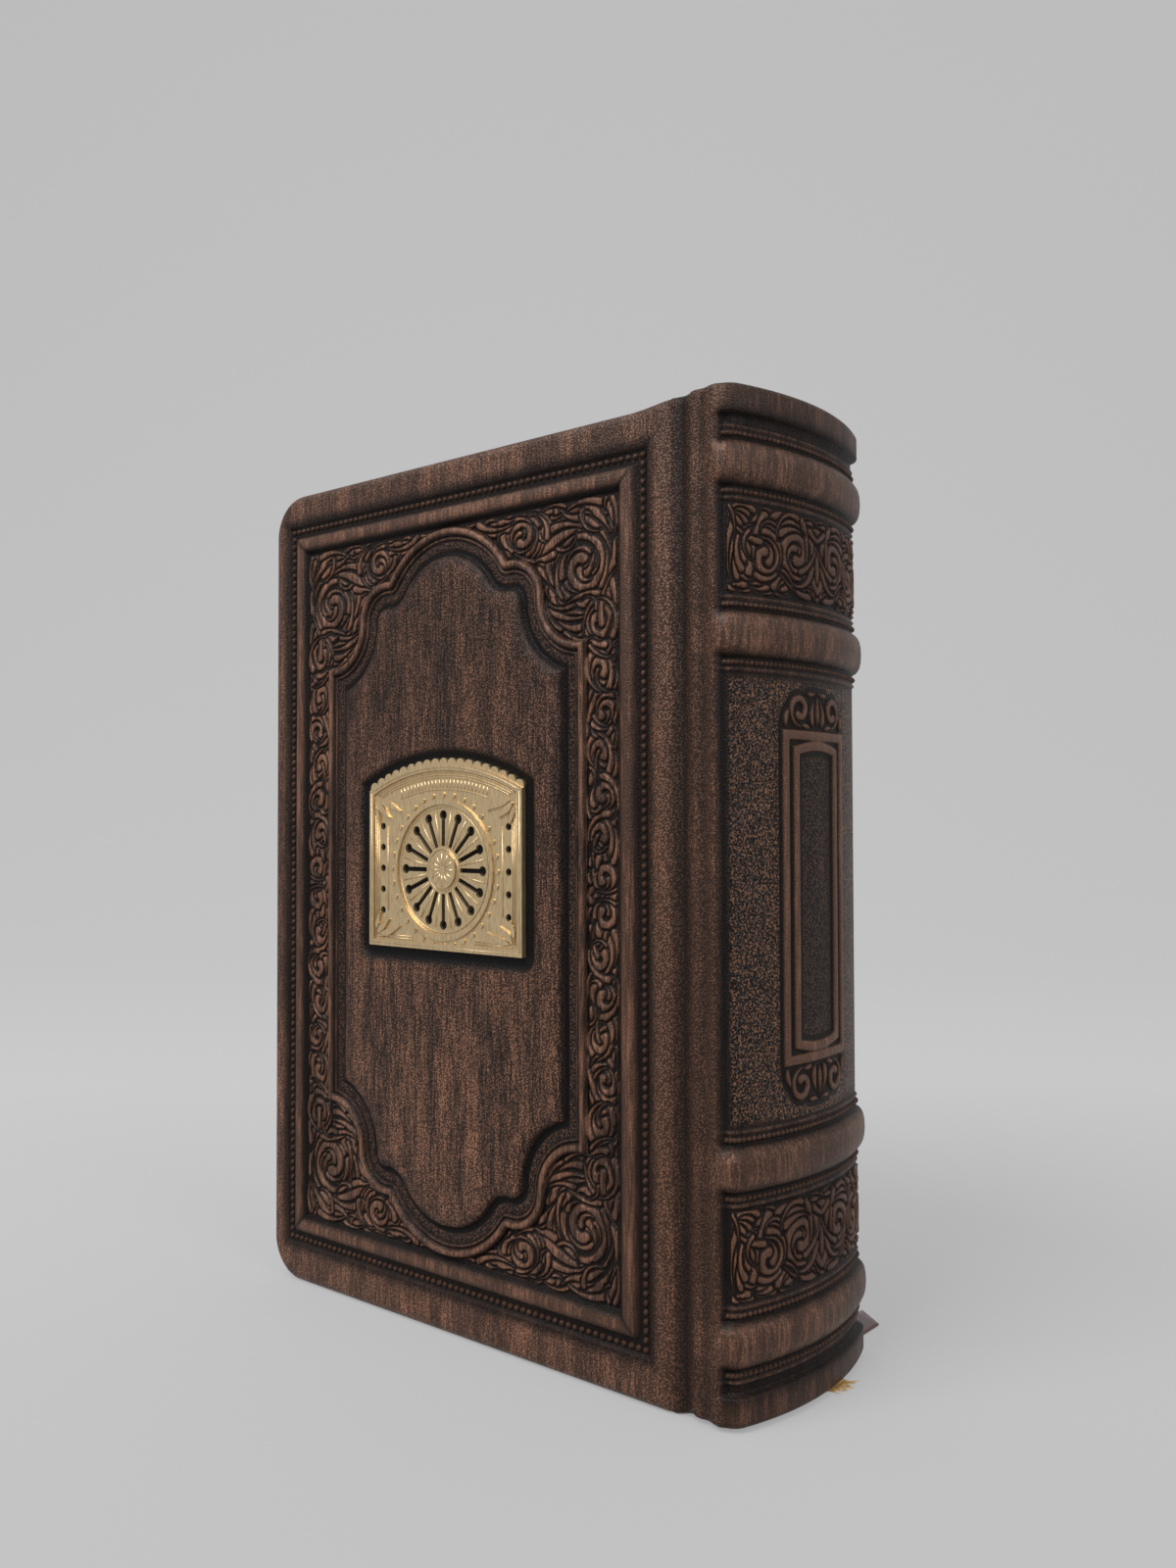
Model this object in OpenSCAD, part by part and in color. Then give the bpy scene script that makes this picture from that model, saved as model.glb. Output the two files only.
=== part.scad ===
// Leather-bound prayer-book sized volume, standing on its tail with both covers closed.
// Front cover towards -Y, rounded spine towards +X, head up. Origin under the middle of the book.

/* [Book] */
// Fore-edge to the top of the spine's curve
book_w = 124.5; // [110:0.5:150]
// Tail to head, over the spine
book_h = 170.5; // [160:0.5:200]
// How far the spine's head stands above the covers
head_rise = 1.3; // [0.8:0.1:1.6]
// Outer face of the front cover to outer face of the back cover
book_t = 45; // [40:0.5:60]
// How far the covers stand out past the pages at head, tail and fore-edge
square_w = 3; // [2:0.5:5]

/* [Covers] */
// Thickness of the boards
board_t = 2.4; // [1.8:0.1:3]
// Thickness of the leather
leather_t = 1.2; // [1:0.1:1.4]
// Thickness of the leather pared down where it is turned in
turn_in_t = 0.6; // [0.4:0.1:0.9]
// Width of the leather turned in over the inside of a board
turn_in_w = 12; // [8:1:18]
// Thickness of pastedowns and flyleaves
endpaper_t = 0.3; // [0.2:0.05:0.5]
// Radius of the covers' corners at the fore-edge
cover_corner_r = 8.5; // [6:0.5:12]
// Radius of the leather over the boards' outer edges
cover_edge_r = 2; // [1:0.1:2.3]
// Gap between a closed cover and the flyleaf under it
cover_gap = 0.3; // [0.2:0.05:0.5]

/* [Joint between cover and spine] */
// Distance from the spine's curve to the bottom of the groove
groove_inset = 14.85; // [13.5:0.1:17]
// Depth of the groove below the cover's face
groove_d = 2.2; // [1.8:0.1:2.6]
// Gap between cover leather and spine leather at the bottom of the groove
joint_gap = 0.3; // [0.2:0.05:0.5]

/* [Spine] */
// Radius of the spine's curve
spine_r = 56; // [48:1:70]
// Radius of the leather at the spine's two long corners
spine_corner_r = 4.2; // [3.8:0.1:5]
// Depth of the spine's panels below the raised bands
panel_d = 1.7; // [1.2:0.1:2]
// Width of a raised band over the leather
band_w = 7.8; // [6.5:0.1:9]
// Distance from the spine's tail or head to the middle of the outer band
outer_band_z = 13.1; // [12.6:0.1:15]
// Distance from the spine's tail or head to the middle of the inner band
inner_band_z = 41.3; // [38:0.1:48]
// Height of the smooth strip at tail and head
cap_h = 5.4; // [4:0.1:6]
// Thickness of the spine's card
stiffener_t = 0.9; // [0.6:0.1:1.2]
// Height of the leather turned in at head and tail of the spine
cap_turn_in_h = 10; // [6:1:16]
// Gap of the hollow between the text block's lining and the spine's turned-in leather
hollow_gap = 0.4; // [0.3:0.05:0.6]

/* [Text block] */
// Thickness of the cloth glued to the back of the pages
mull_t = 0.4; // [0.3:0.1:0.6]
// Thickness of the paper lining over the cloth
lining_t = 0.5; // [0.3:0.1:0.8]
// How far the pages fan out into a shoulder under the joint
shoulder_d = 1.2; // [0.6:0.1:1.4]
// Height of the endbands above the pages
endband_h = 1.6; // [1.2:0.1:2]
// Thickness of the endbands
endband_t = 1.8; // [1.4:0.1:2.2]

/* [Cover ornament] */
// Width between the bead rows' centre lines
bead_w = 95.7; // [90:0.1:97]
// Height between the bead rows' centre lines
bead_h = 152; // [146:0.5:153]
// Middle of the ornament, from the middle of the book
ornament_x = -8.2; // [-9:0.1:-7]
// Width of the sunk trough that a bead row lies in
trough_w = 2.6; // [2:0.1:3]
// Width of the mitred moulding inside the bead rows
moulding_w = 4; // [3:0.1:5]
// Depth of the sunk ground below the cover's face
ground_d = 0.8; // [0.4:0.1:0.8]
// Height of the moulding above the cover's face
moulding_h = 0.5; // [0.3:0.1:0.8]
// Half width of the cartouche
cart_w = 35.2; // [33:0.1:37]
// Half height of the cartouche
cart_h = 70.2; // [66:0.1:70.4]
// Radius of the arch at head and foot of the cartouche
arch_r = 19.5; // [17:0.5:21]
// Radius of the cartouche's shoulders
shoulder_r = 8; // [6.5:0.5:8.5]
// Radius of the cartouche's hollow corners
hollow_r = 8.5; // [7:0.5:9.5]
// Distance from the cartouche's edge to the padded panel
panel_inset = 5.3; // [4.8:0.1:6]
// Thickness of the card that pads the panel
pad_t = 0.8; // [0.5:0.1:1]

/* [Leaf scrolls] */
// Height of the leaf scrolls above the ground that they lie on
scroll_h = 0.5; // [0.3:0.05:0.6]
// Half width of the thickest scroll
scroll_w = 0.85; // [0.6:0.05:0.9]

/* [Spine label] */
// Width of the label's frame
label_w = 20.6; // [16:0.2:22]
// Distance from the label's frame to the raised band over or under it, its scrolls between
label_clear = 11.45; // [10.8:0.05:14.8]
// Width of the frame's two rails
label_rail = 1.8; // [1.4:0.1:2]
// Height of the frame over the spine's panel
label_rise = 0.35; // [0.2:0.05:0.5]

/* [Metal plate] */
// Width of the plate
plate_w = 42; // [36:0.5:46]
// Height of the plate at its sides
plate_h = 31; // [26:0.5:34]
// Rise of the arch over the plate's sides
plate_rise = 5; // [3:0.5:6]
// Thickness of the plate
plate_t = 1.1; // [1:0.1:1.6]
// Width of the dark recess round the plate
plate_recess = 2.2; // [1.5:0.1:3]
// Height of the plate's middle above the tail
plate_z = 89; // [80:1:96]

/* [Ribbon markers] */
// Width of a ribbon
ribbon_w = 6; // [5:0.5:8]
// Thickness of a ribbon
ribbon_t = 0.35; // [0.25:0.05:0.5]

/* [Hidden] */

leather_colour = [0.32, 0.18, 0.12];
board_colour = [0.55, 0.5, 0.43];
paper_colour = [0.93, 0.89, 0.78];
card_colour = [0.72, 0.66, 0.55];
cloth_colour = [0.86, 0.84, 0.78];
brass_colour = [0.82, 0.7, 0.43];
maroon_colour = [0.3, 0.1, 0.1];
gold_colour = [0.8, 0.6, 0.2];

$fn = 96;
far = 400;
eps = 0.01;
lap = 0.3;
tuck = 0.03;
half_t = book_t / 2;
fore_x = -book_w / 2;
cover_h = book_h - head_rise;
mid_z = book_h / 2;
tail_gap = 0.6;

// Across a cover, from its outer face inwards
board_out = half_t - leather_t;
board_in = board_out - board_t;
turn_in_in = board_in - turn_in_t;
paste_in = turn_in_in - endpaper_t;
flyleaf_out = paste_in - cover_gap;
block_half = flyleaf_out - endpaper_t;

// Along the joint, from the cover to the spine
groove_x = book_w / 2 - groove_inset;
groove_out = half_t - groove_d;
groove_in = groove_out - leather_t;
cover_end = groove_x - joint_gap / 2;
board_end = cover_end - joint_gap - groove_d;
joint_inset = 0.6;
ridge_x = groove_x + 2.8;
ridge_r = 1.9;
ridge_y = half_t - 0.7 - ridge_r;
spine_side_x = groove_x + 6.2;
step_ws = [2.2, 1.2];
step_ds = [1.1, 0.5];

// The spine's outline: side, corner, curve, corner, side
spine_cx = book_w / 2 - spine_r;
corner_y = half_t - spine_corner_r;
corner_x = spine_cx + sqrt(pow(spine_r - spine_corner_r, 2) - pow(corner_y, 2));
curve_a = asin(corner_y / (spine_r - spine_corner_r));
skin_in = panel_d + leather_t;
card_in = skin_in + stiffener_t;
cap_in = card_in + turn_in_t;
lining_r = spine_r - cap_in - hollow_gap;
mull_r = lining_r - lining_t;
block_r = mull_r - mull_t;
back_corner_x = spine_cx + sqrt(pow(block_r, 2) - pow(block_half, 2));
back_a = asin(block_half / block_r);

// The text block
page_fore_x = fore_x + square_w;
page_z0 = square_w;
page_z1 = cover_h - square_w;
page_h = page_z1 - page_z0;
cover_leaf_flat = 0.5;
page_hollow_x = page_fore_x - sqrt(pow(block_r, 2) - pow(block_half - cover_leaf_flat, 2));

// The spine's bands and the fine rib lines beside them
cap_over = 0.5;
band_zs = [
    tail_gap + outer_band_z, tail_gap + inner_band_z, book_h - inner_band_z, book_h - outer_band_z
];
rib_h = 0.45;
rib_w = 1;
rib_gap = 0.35;
line_h = 0.3;
line_w = 0.6;
line_gap = 1.7;

// The cover's ornament, as heights above the cover's face
moulding_edge = 1.4;
shoulder_u = 17.3;
notch_a = 15;
shoulder_drop = 16.5;
shoulder_v = cart_h - shoulder_drop;
ridge_w = 1.5;
ridge_h = 0.45;
bead_line_r = 0.55;

// Leaf scrolls fill the corners between cartouche and moulding, and wind along its two sides
corner_u = bead_w / 2 - moulding_edge - moulding_w;
corner_v = bead_h / 2 - moulding_edge - moulding_w;
strip_w = corner_u - cart_w;
leaf_n = 6;
volute_step = 32;

// The same leaves in the spine's outer panels, stretched to the panels' height
label_z = (band_zs[1] + band_zs[2]) / 2;
label_h = band_zs[2] - band_zs[1] - band_w - 2 * label_clear;
label_gap = 1;
label_bulge = 1.1;
drawn_panel = 28.2;
panel_stretch = (inner_band_z - outer_band_z) / drawn_panel;

// The metal plate lies in a recess of the padded panel
recess_floor = pad_t - 0.9;
plate_arch_r = (pow(plate_w / 2, 2) + pow(plate_rise, 2)) / (2 * plate_rise);
plate_rim = 2.4;
plate_sheet = plate_t * 0.6;
slot_n = 16;
slot_w = 0.9;
slot_eye_r = 0.95;
rosette_r = 12.2;
rosette_ring = 0.9;
boss_r = 3.6;
hole_r = 0.7;
hole_pitch = 4.2;
hole_inset = 3.7;
pearl_n = 32;
pearl_r = 0.5;
lobe_n = 9;
lobe_r = 1.15;

// Ribbons: between the pages, out at the tail and along the table
ribbon_slot = ribbon_t + 0.15;
ribbon_bend = 2;
maroon_x = book_w / 2 - 11.65;
maroon_y = 10.5;
maroon_end = half_t + 16.4;
maroon_slant = 4.4;
gold_x = book_w / 2 - 20.25;
gold_y = -4;
gold_lie = 5;
gold_end = book_w / 2 + 1.35;
ribbon_lift = 0.05;

// A 2D outline in x and z, made into a solid that fills depth a to b towards -Y
module face_slab(a, b) {
    translate([0, -a, 0]) rotate([90, 0, 0]) linear_extrude(b - a) children();
}

// The front of the book stays as it is; the back is its mirror image
module to_back() {
    mirror([0, 1, 0]) children();
}

// Outline of a cover, inset by d, with round corners at the fore-edge
module cover_outline(d, end_x) {
    r = cover_corner_r - d;
    translate([fore_x + d, d]) union() {
        translate([r, 0]) square([end_x - fore_x - d - r, cover_h - 2 * d]);
        translate([0, r]) square([r + eps, cover_h - 2 * d - 2 * r]);
        translate([r, r]) circle(r);
        translate([r, cover_h - 2 * d - r]) circle(r);
    }
}

// Solid of a cover whose outer edges at head, tail and fore-edge are rounded
module cover_solid(end_x) {
    r = cover_edge_r;
    cr = cover_corner_r;
    len_x = end_x - fore_x - cr;
    face_slab(turn_in_in, half_t - r) cover_outline(0, end_x);
    face_slab(half_t - r - eps, half_t) cover_outline(r, end_x);
    for (z = [r, cover_h - r])
        translate([fore_x + cr, -half_t + r, z]) rotate([0, 90, 0]) cylinder(h = len_x, r = r);
    translate([fore_x + r, -half_t + r, cr]) cylinder(h = cover_h - 2 * cr, r = r);
    for (z = [cr, cover_h - cr])
        translate([fore_x + cr, -half_t + r, z]) rotate([90, 0, 0])
            rotate_extrude() translate([cr - r, 0]) circle(r);
}

// The mitred moulding's cross-section: width inwards, height over the sunk ground
function moulding_profile() = let(g = -ground_d - eps, w = moulding_w, h = moulding_h) [
    [0, g], [0.25, 0], [0.9, h * 0.7], [1.7, h], [w - 1.3, h], [w - 0.5, 0.1], [w, -ground_d * 0.7],
    [w, g]
];

// One side of the moulding, length along u, its outer edge at v = 0, cut to a mitre at both ends
module moulding_side(length) {
    intersection() {
        rotate([90, 0, 90]) translate([0, 0, -length / 2])
            linear_extrude(length) polygon(moulding_profile());
        translate([0, 0, -2]) linear_extrude(6) polygon([
            [-length / 2, 0], [length / 2, 0],
            [length / 2 - moulding_w, moulding_w], [-length / 2 + moulding_w, moulding_w]
        ]);
    }
}

module moulding() {
    w = bead_w - 2 * moulding_edge;
    h = bead_h - 2 * moulding_edge;
    translate([ornament_x, -half_t, mid_z]) rotate([90, 0, 0]) {
        for (side = [0, 180]) {
            rotate([0, 0, side]) translate([0, -h / 2, 0]) moulding_side(w);
            rotate([0, 0, side + 90]) translate([0, -w / 2, 0]) moulding_side(h);
        }
    }
}

function arc(c, r, a0, a1, n) = [
    for (i = [0 : n]) let(a = a0 + (a1 - a0) * i / n) c + r * [cos(a), sin(a)]
];

// Upper point where two circles meet
function circles_meet(c1, r1, c2, r2) =
    let(d = norm(c2 - c1), e = (c2 - c1) / d, a = (r1 * r1 - r2 * r2 + d * d) / (2 * d))
    c1 + a * e + sqrt(r1 * r1 - a * a) * [-e[1], e[0]];

// A quarter of the cartouche: arch, notch, shoulder, hollow and square corner
function cartouche_quarter() =
    let(
        arch_c = [0, cart_h - arch_r], shoulder_c = [shoulder_u, shoulder_v],
        hollow_c = [shoulder_u + shoulder_r + hollow_r, shoulder_v],
        p = circles_meet(arch_c, arch_r, shoulder_c, shoulder_r), u = p - arch_c, v = p - shoulder_c
    )
    concat(
        arc(arch_c, arch_r, 90, atan2(u[1], u[0]), 6),
        arc(shoulder_c, shoulder_r, atan2(v[1], v[0]) - notch_a, 0, 5),
        arc(hollow_c, hollow_r, 180 - notch_a, 270, 5),
        [[cart_w, shoulder_v - hollow_r]]
    );

module cartouche_outline() {
    q = cartouche_quarter();
    back = reversed(q);
    polygon(concat(
        q, [for (p = back) [p[0], -p[1]]], [for (p = q) [-p[0], -p[1]]], [for (p = back) [-p[0], p[1]]]
    ));
}

// The cartouche inset by d, in the place that it has on the cover
module cartouche(d) {
    translate([ornament_x, mid_z]) offset(r = -d, $fn = 20) cartouche_outline();
}

module cartouche_ring(d0, d1) {
    difference() {
        cartouche(d0);
        cartouche(d1);
    }
}

module bead_rect(d) {
    translate([ornament_x, mid_z]) square([bead_w - 2 * d, bead_h - 2 * d], center = true);
}

// Half-round line along a bead row
module bead_line() {
    y = -half_t + ground_d;
    for (s = [-1, 1]) {
        translate([ornament_x - bead_w / 2, y, mid_z + s * bead_h / 2])
            rotate([0, 90, 0]) cylinder(h = bead_w, r = bead_line_r, $fn = 12);
        translate([ornament_x + s * bead_w / 2, y, mid_z - bead_h / 2])
            cylinder(h = bead_h, r = bead_line_r, $fn = 12);
    }
}

// Outline of the metal plate, grown by d, in its place on the cover
module plate_outline(d) {
    translate([ornament_x, plate_z]) offset(delta = d) union() {
        square([plate_w, plate_h], center = true);
        intersection() {
            translate([0, plate_h / 2 + plate_rise - plate_arch_r]) circle(plate_arch_r);
            translate([0, plate_h / 2]) square([plate_w, 2 * plate_rise + 1], center = true);
        }
    }
}

// Cut below the cover's face: bead trough, ornament field and the grooves of the cartouche
module sunk_ground() {
    face_slab(half_t - ground_d, half_t + 1) difference() {
        bead_rect(-trough_w / 2);
        bead_rect(moulding_edge);
    }
    face_slab(half_t - ground_d, half_t + 1) difference() {
        bead_rect(moulding_edge);
        cartouche(panel_inset + 1);
    }
}

// Raised on the sunk ground: the moulding, bead rows and the cartouche's ridges
module raised_frame() {
    moulding();
    bead_line();
    face_slab(half_t - ground_d - eps, half_t + ridge_h * 0.4) cartouche_ring(0, ridge_w);
    face_slab(half_t - ground_d - eps, half_t + ridge_h) cartouche_ring(0.35, ridge_w - 0.3);
    face_slab(half_t - ground_d - eps, half_t - 0.1) cartouche_ring(1.9, 2.5);
}

// The panel over its card, with a soft edge in steps
panel_steps = [[0, -0.3], [0.6, 0.25], [1.5, 0.6], [3, 0.8]];

module padded_panel() {
    for (s = panel_steps)
        face_slab(half_t - ground_d - eps, half_t + s[1] * pad_t / 0.8)
            cartouche(panel_inset + s[0]);
}

// A curved leaf from its root, as [x, y, half width] along its middle
function leaf(x, y, heading, length, turn, w) = let(r = length / turn * 180 / PI) [
    for (i = [0 : leaf_n]) let(t = i / leaf_n, a = heading + turn * t) [
        x + r * (sin(a) - sin(heading)), y - r * (cos(a) - cos(heading)),
        w * scroll_w * (0.15 + 0.85 * sin(180 * pow(1 - t, 1.6)))
    ]
];

// A stem that starts thin and winds inwards from radius r0 to a round head at radius r1
function volute(x, y, r0, r1, start, turn, w) = let(n = round(abs(turn) / volute_step)) [
    for (i = [0 : n]) let(t = i / n, r = r0 + (r1 - r0) * t, a = start + turn * t) [
        x + r * cos(a), y + r * sin(a),
        w * scroll_w * (i == n ? 0.75 : i == n - 1 ? 1.15 : 0.25 + 0.75 * min(1, t / 0.35))
    ]
];

// Outline round such a line, mirrored by s and moved to a place
function line_outline(line, s, place) = let(
    n = len(line), middle = [for (p = line) [p[0], p[1]]],
    side = [for (i = [0 : n - 1])
        let(d = middle[min(i + 1, n - 1)] - middle[max(i - 1, 0)]) [-d[1], d[0]] / norm(d) * line[i][2]]
) [
    for (p = concat([for (i = [0 : n - 1]) middle[i] + side[i]],
        [for (i = [n - 1 : -1 : 0]) middle[i] - side[i]])) [p[0] * s[0], p[1] * s[1]] + place
];

module line_shapes(lines, signs, place) {
    for (s = signs) for (line = lines) polygon(line_outline(line, s, place));
}

// Scrolls and leaves of one corner of a cover, drawn from the moulding's inner corner
function corner_leaves() = [
    volute(-8, -12.3, 6.6, 1.5, 188, -470, 1), volute(-22.6, -5, 2.9, 1.1, 200, -330, 0.88),
    volute(-4.4, -22.6, 3.2, 1.2, 100, -340, 0.88), leaf(-18.4, -9.6, 46, 13.5, -58, 1.1),
    leaf(-7.9, -1.3, -18, 8.6, -50, 1), leaf(-14.6, -1.3, 178, 4, 20, 0.7),
    leaf(-24.9, -1.5, 180, 8, 4, 0.7), leaf(-17.6, -5.9, 88, 3.4, -40, 0.6),
    leaf(-18.9, -10.9, -42, 4.6, -20, 0.73), leaf(-15.9, -15.2, -72, 6, 34, 0.94),
    leaf(-12.2, -20.5, 8, 5.2, -25, 0.82), leaf(-1.1, -20, 120, 5.2, -30, 0.7),
    leaf(-15.2, -3.1, -4, 6.6, -16, 0.7)
];

// The vine up one side of the cartouche: hooks that turn left and right, with a leaf beside each
function side_vine() = let(w = strip_w, n = floor((shoulder_v - hollow_r) / strip_w)) [
    for (k = [0 : n - 1]) let(s = k % 2 == 0 ? 1 : -1, x = -w / 2, y = w * (k + 0.46) - corner_v)
        each [
            volute(x + s * 0.07 * w, y, 0.338 * w, 0.138 * w, -90, s * 320, 0.85),
            leaf(x - s * 0.366 * w, y + 0.166 * w, 90, 0.52 * w, -s * 12, 0.65)
        ]
];

module leaf_scrolls() {
    face_slab(half_t - ground_d - eps, half_t - ground_d + scroll_h)
        for (s = [[1, 1], [-1, 1], [1, -1], [-1, -1]])
            line_shapes(concat(corner_leaves(), side_vine()), [s],
                [ornament_x + s[0] * corner_u, mid_z + s[1] * corner_v]);
}

module panel_card(d) {
    cartouche(panel_inset + 2.2 + d);
}

// The leather that bends down from the board's edge to the bottom of the groove
module cover_joint() {
    translate([0, 0, joint_inset]) linear_extrude(cover_h - 2 * joint_inset) difference() {
        union() {
            translate([board_end - 2, -half_t]) square([2 + eps, leather_t]);
            translate([board_end, -groove_out]) intersection() {
                circle(groove_d);
                translate([-eps, -groove_d]) square([groove_d + 1, groove_d + leather_t]);
            }
            translate([board_end - eps, -groove_out])
                square([cover_end - board_end + eps, leather_t]);
        }
        translate([board_end - far, -board_out]) square([far, board_t]);
    }
}

module leather_cover(has_plate) {
    color(leather_colour) difference() {
        union() {
            difference() {
                cover_solid(board_end);
                sunk_ground();
            }
            raised_frame();
            leaf_scrolls();
            padded_panel();
            cover_joint();
        }
        face_slab(board_in, board_out) cover_outline(leather_t, board_end + eps);
        face_slab(turn_in_in - 1, board_in + eps) translate([fore_x + turn_in_w, turn_in_w])
            square([book_w, cover_h - 2 * turn_in_w]);
        face_slab(board_out - eps, board_out + pad_t) panel_card(0);
        if (has_plate)
            face_slab(half_t + recess_floor, half_t + 3) plate_outline(plate_recess);
    }
}

module board() {
    color(board_colour) face_slab(board_in, board_out) cover_outline(leather_t, board_end);
}

// The panel's card, with a window under the plate where there is one
module panel_pad(has_plate) {
    color(card_colour) difference() {
        face_slab(board_out, board_out + pad_t) panel_card(0);
        if (has_plate)
            face_slab(board_out + pad_t / 2, half_t) plate_outline(plate_recess);
    }
}

module infill() {
    color(card_colour) face_slab(turn_in_in, board_in)
        translate([fore_x + turn_in_w, turn_in_w])
            square([board_end - fore_x - turn_in_w, cover_h - 2 * turn_in_w]);
}

module pastedown() {
    color(paper_colour) face_slab(paste_in, turn_in_in) translate([page_fore_x, page_z0])
        square([board_end - page_fore_x, page_h]);
}

module flyleaf() {
    color(paper_colour) face_slab(block_half, flyleaf_out) translate([page_fore_x, page_z0])
        square([groove_x + 1 - page_fore_x, page_h]);
}

module front_board() { board(); }
module front_leather() { leather_cover(true); }
module front_panel_pad() { panel_pad(true); }
module front_infill() { infill(); }
module front_pastedown() { pastedown(); }
module front_flyleaf() { flyleaf(); }
module back_board() { to_back() board(); }
module back_leather() { to_back() leather_cover(false); }
module back_panel_pad() { to_back() panel_pad(false); }
module back_infill() { to_back() infill(); }
module back_pastedown() { to_back() pastedown(); }
module back_flyleaf() { to_back() flyleaf(); }

// Leaves in one corner of the plate, drawn from the corner
function plate_leaves() = [
    leaf(-3.3, -2.3, 188, 6, 20, 0.75), leaf(-2.5, -2.6, 226, 4.4, -12, 0.8),
    leaf(-2.1, -3.4, 262, 3.4, -20, 0.6)
];

// The plate's sheet: scalloped along its arch, cut through by a rosette of slots and round holes
module plate_openwork() {
    difference() {
        union() {
            plate_outline(0);
            translate([ornament_x, plate_z + plate_h / 2 + plate_rise - plate_arch_r])
                for (i = [-lobe_n : lobe_n])
                    rotate(i * asin(plate_w / 2 / plate_arch_r) / (lobe_n + 0.5))
                        translate([0, plate_arch_r]) circle(lobe_r, $fn = 24);
        }
        translate([ornament_x, plate_z]) {
            for (i = [0 : slot_n - 1]) rotate(i * 360 / slot_n) translate([boss_r + 1, 0]) union() {
                translate([0, -slot_w / 2]) square([rosette_r - boss_r - 2.6, slot_w]);
                translate([rosette_r - boss_r - 2.6, 0]) circle(slot_eye_r, $fn = 24);
            }
            for (s = [-1, 1]) for (k = [-2 : 2])
                translate([s * (plate_w / 2 - hole_inset), k * hole_pitch]) circle(hole_r, $fn = 24);
        }
    }
}

// Openwork plate with a raised rim, a ring of pearls round the rosette, a boss and corner leaves
module front_plate() {
    z0 = half_t + recess_floor;
    z1 = z0 + plate_sheet;
    color(brass_colour) {
        face_slab(z0, z1) plate_openwork();
        face_slab(z1 - eps, z0 + plate_t) difference() {
            plate_outline(0);
            plate_outline(-plate_rim / 2);
        }
        face_slab(z1 - eps, z0 + plate_t) translate([ornament_x, plate_z]) {
            difference() {
                circle(rosette_r + 0.5 + rosette_ring);
                circle(rosette_r + 0.5);
            }
            circle(boss_r);
        }
        face_slab(z1 - eps, z1 + pearl_r * 0.6) translate([ornament_x, plate_z])
            for (i = [0 : pearl_n - 1]) rotate(i * 360 / pearl_n)
                translate([rosette_r + rosette_ring + 1.4, 0]) circle(pearl_r, $fn = 24);
        face_slab(z1 - eps, z0 + plate_t)
            for (s = [[1, 1], [-1, 1], [1, -1], [-1, -1]])
                line_shapes(plate_leaves(), [s],
                    [ornament_x + s[0] * plate_w / 2, plate_z + s[1] * plate_h / 2]);
    }
}

// One band over the leather, from its lower foot to its upper foot: [height over the face, z]
function band_over(z) = let(w = band_w / 2, d = -panel_d) [
    [d, z - w], [d * 0.5, z - w + 0.3], [d * 0.13, z - w + 1.2], [0, z - w + 2.4],
    [0, z + w - 2.4], [d * 0.13, z + w - 1.2], [d * 0.5, z + w - 0.3], [d, z + w]
];

// The bead rib and the fine line beside a band's foot at z, going up (s = 1) or down (s = -1)
function rib_beside(z, s) = let(d = -panel_d, a = z + s * rib_gap, b = z + s * line_gap) [
    [d, a], [d + rib_h, a + s * 0.25], [d + rib_h, a + s * (rib_w - 0.25)], [d, a + s * rib_w],
    [d, b], [d + line_h, b + s * 0.15], [d + line_h, b + s * (line_w - 0.15)], [d, b + s * line_w]
];

function reversed(list) = [for (i = [len(list) - 1 : -1 : 0]) list[i]];

function band_group(z) = concat(
    reversed(rib_beside(z - band_w / 2, -1)), band_over(z), rib_beside(z + band_w / 2, 1)
);

// The space of a band's core under the leather
function core_over(z) = let(w = band_w / 2 - 0.9) [
    [-skin_in, z - w], [-leather_t - 0.3, z - w + 0.6], [-leather_t, z - w + 1.4],
    [-leather_t, z + w - 1.4], [-leather_t - 0.3, z + w - 0.6], [-skin_in, z + w]
];

// Outer surface of the spine from tail to head
function spine_outer() = concat(
    [[-1.6, tail_gap], [-cap_over, tail_gap + 1], [-cap_over, cap_h - 0.6], [-panel_d, cap_h]],
    [for (z = band_zs) each band_group(z)],
    [[-panel_d, book_h - cap_h], [-cap_over, book_h - cap_h + 0.6], [-cap_over, book_h - 1],
        [-1.6, book_h]]
);

// Inner surface from head to tail, with the leather turned in round the card's two ends
function spine_inner() = concat(
    [[-cap_in + 0.3, book_h], [-cap_in, book_h - 0.3], [-cap_in, book_h - cap_turn_in_h],
        [-card_in, book_h - cap_turn_in_h], [-card_in, book_h - leather_t],
        [-skin_in, book_h - leather_t]],
    [for (i = [3 : -1 : 0]) each reversed(core_over(band_zs[i]))],
    [[-skin_in, tail_gap + leather_t], [-card_in, tail_gap + leather_t],
        [-card_in, cap_turn_in_h], [-cap_in, cap_turn_in_h], [-cap_in, tail_gap + 0.3],
        [-cap_in + 0.3, tail_gap]]
);

// Sweeps a section along the spine's curve; r0 is the radius of the section's zero line
module sweep_curve(points, a) {
    translate([spine_cx, 0, 0]) rotate([0, 0, -a]) rotate_extrude(angle = 2 * a)
        polygon([for (p = points) [spine_r + p[0], p[1]]]);
}

// The skin's section, made thinner by t on both faces so that it ends inside its neighbour
function skin_section(t) = concat(
    [for (p = spine_outer()) [p[0] - t, p[1]]], [[-skin_in + t, book_h], [-skin_in + t, tail_gap]]
);

module sweep_corner() {
    over_a = lap / spine_corner_r * 180 / PI;
    translate([corner_x, -corner_y, 0]) rotate([0, 0, -90])
        rotate_extrude(angle = 90 - curve_a + over_a)
            polygon([for (p = skin_section(tuck)) [spine_corner_r + p[0], p[1]]]);
}

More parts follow.
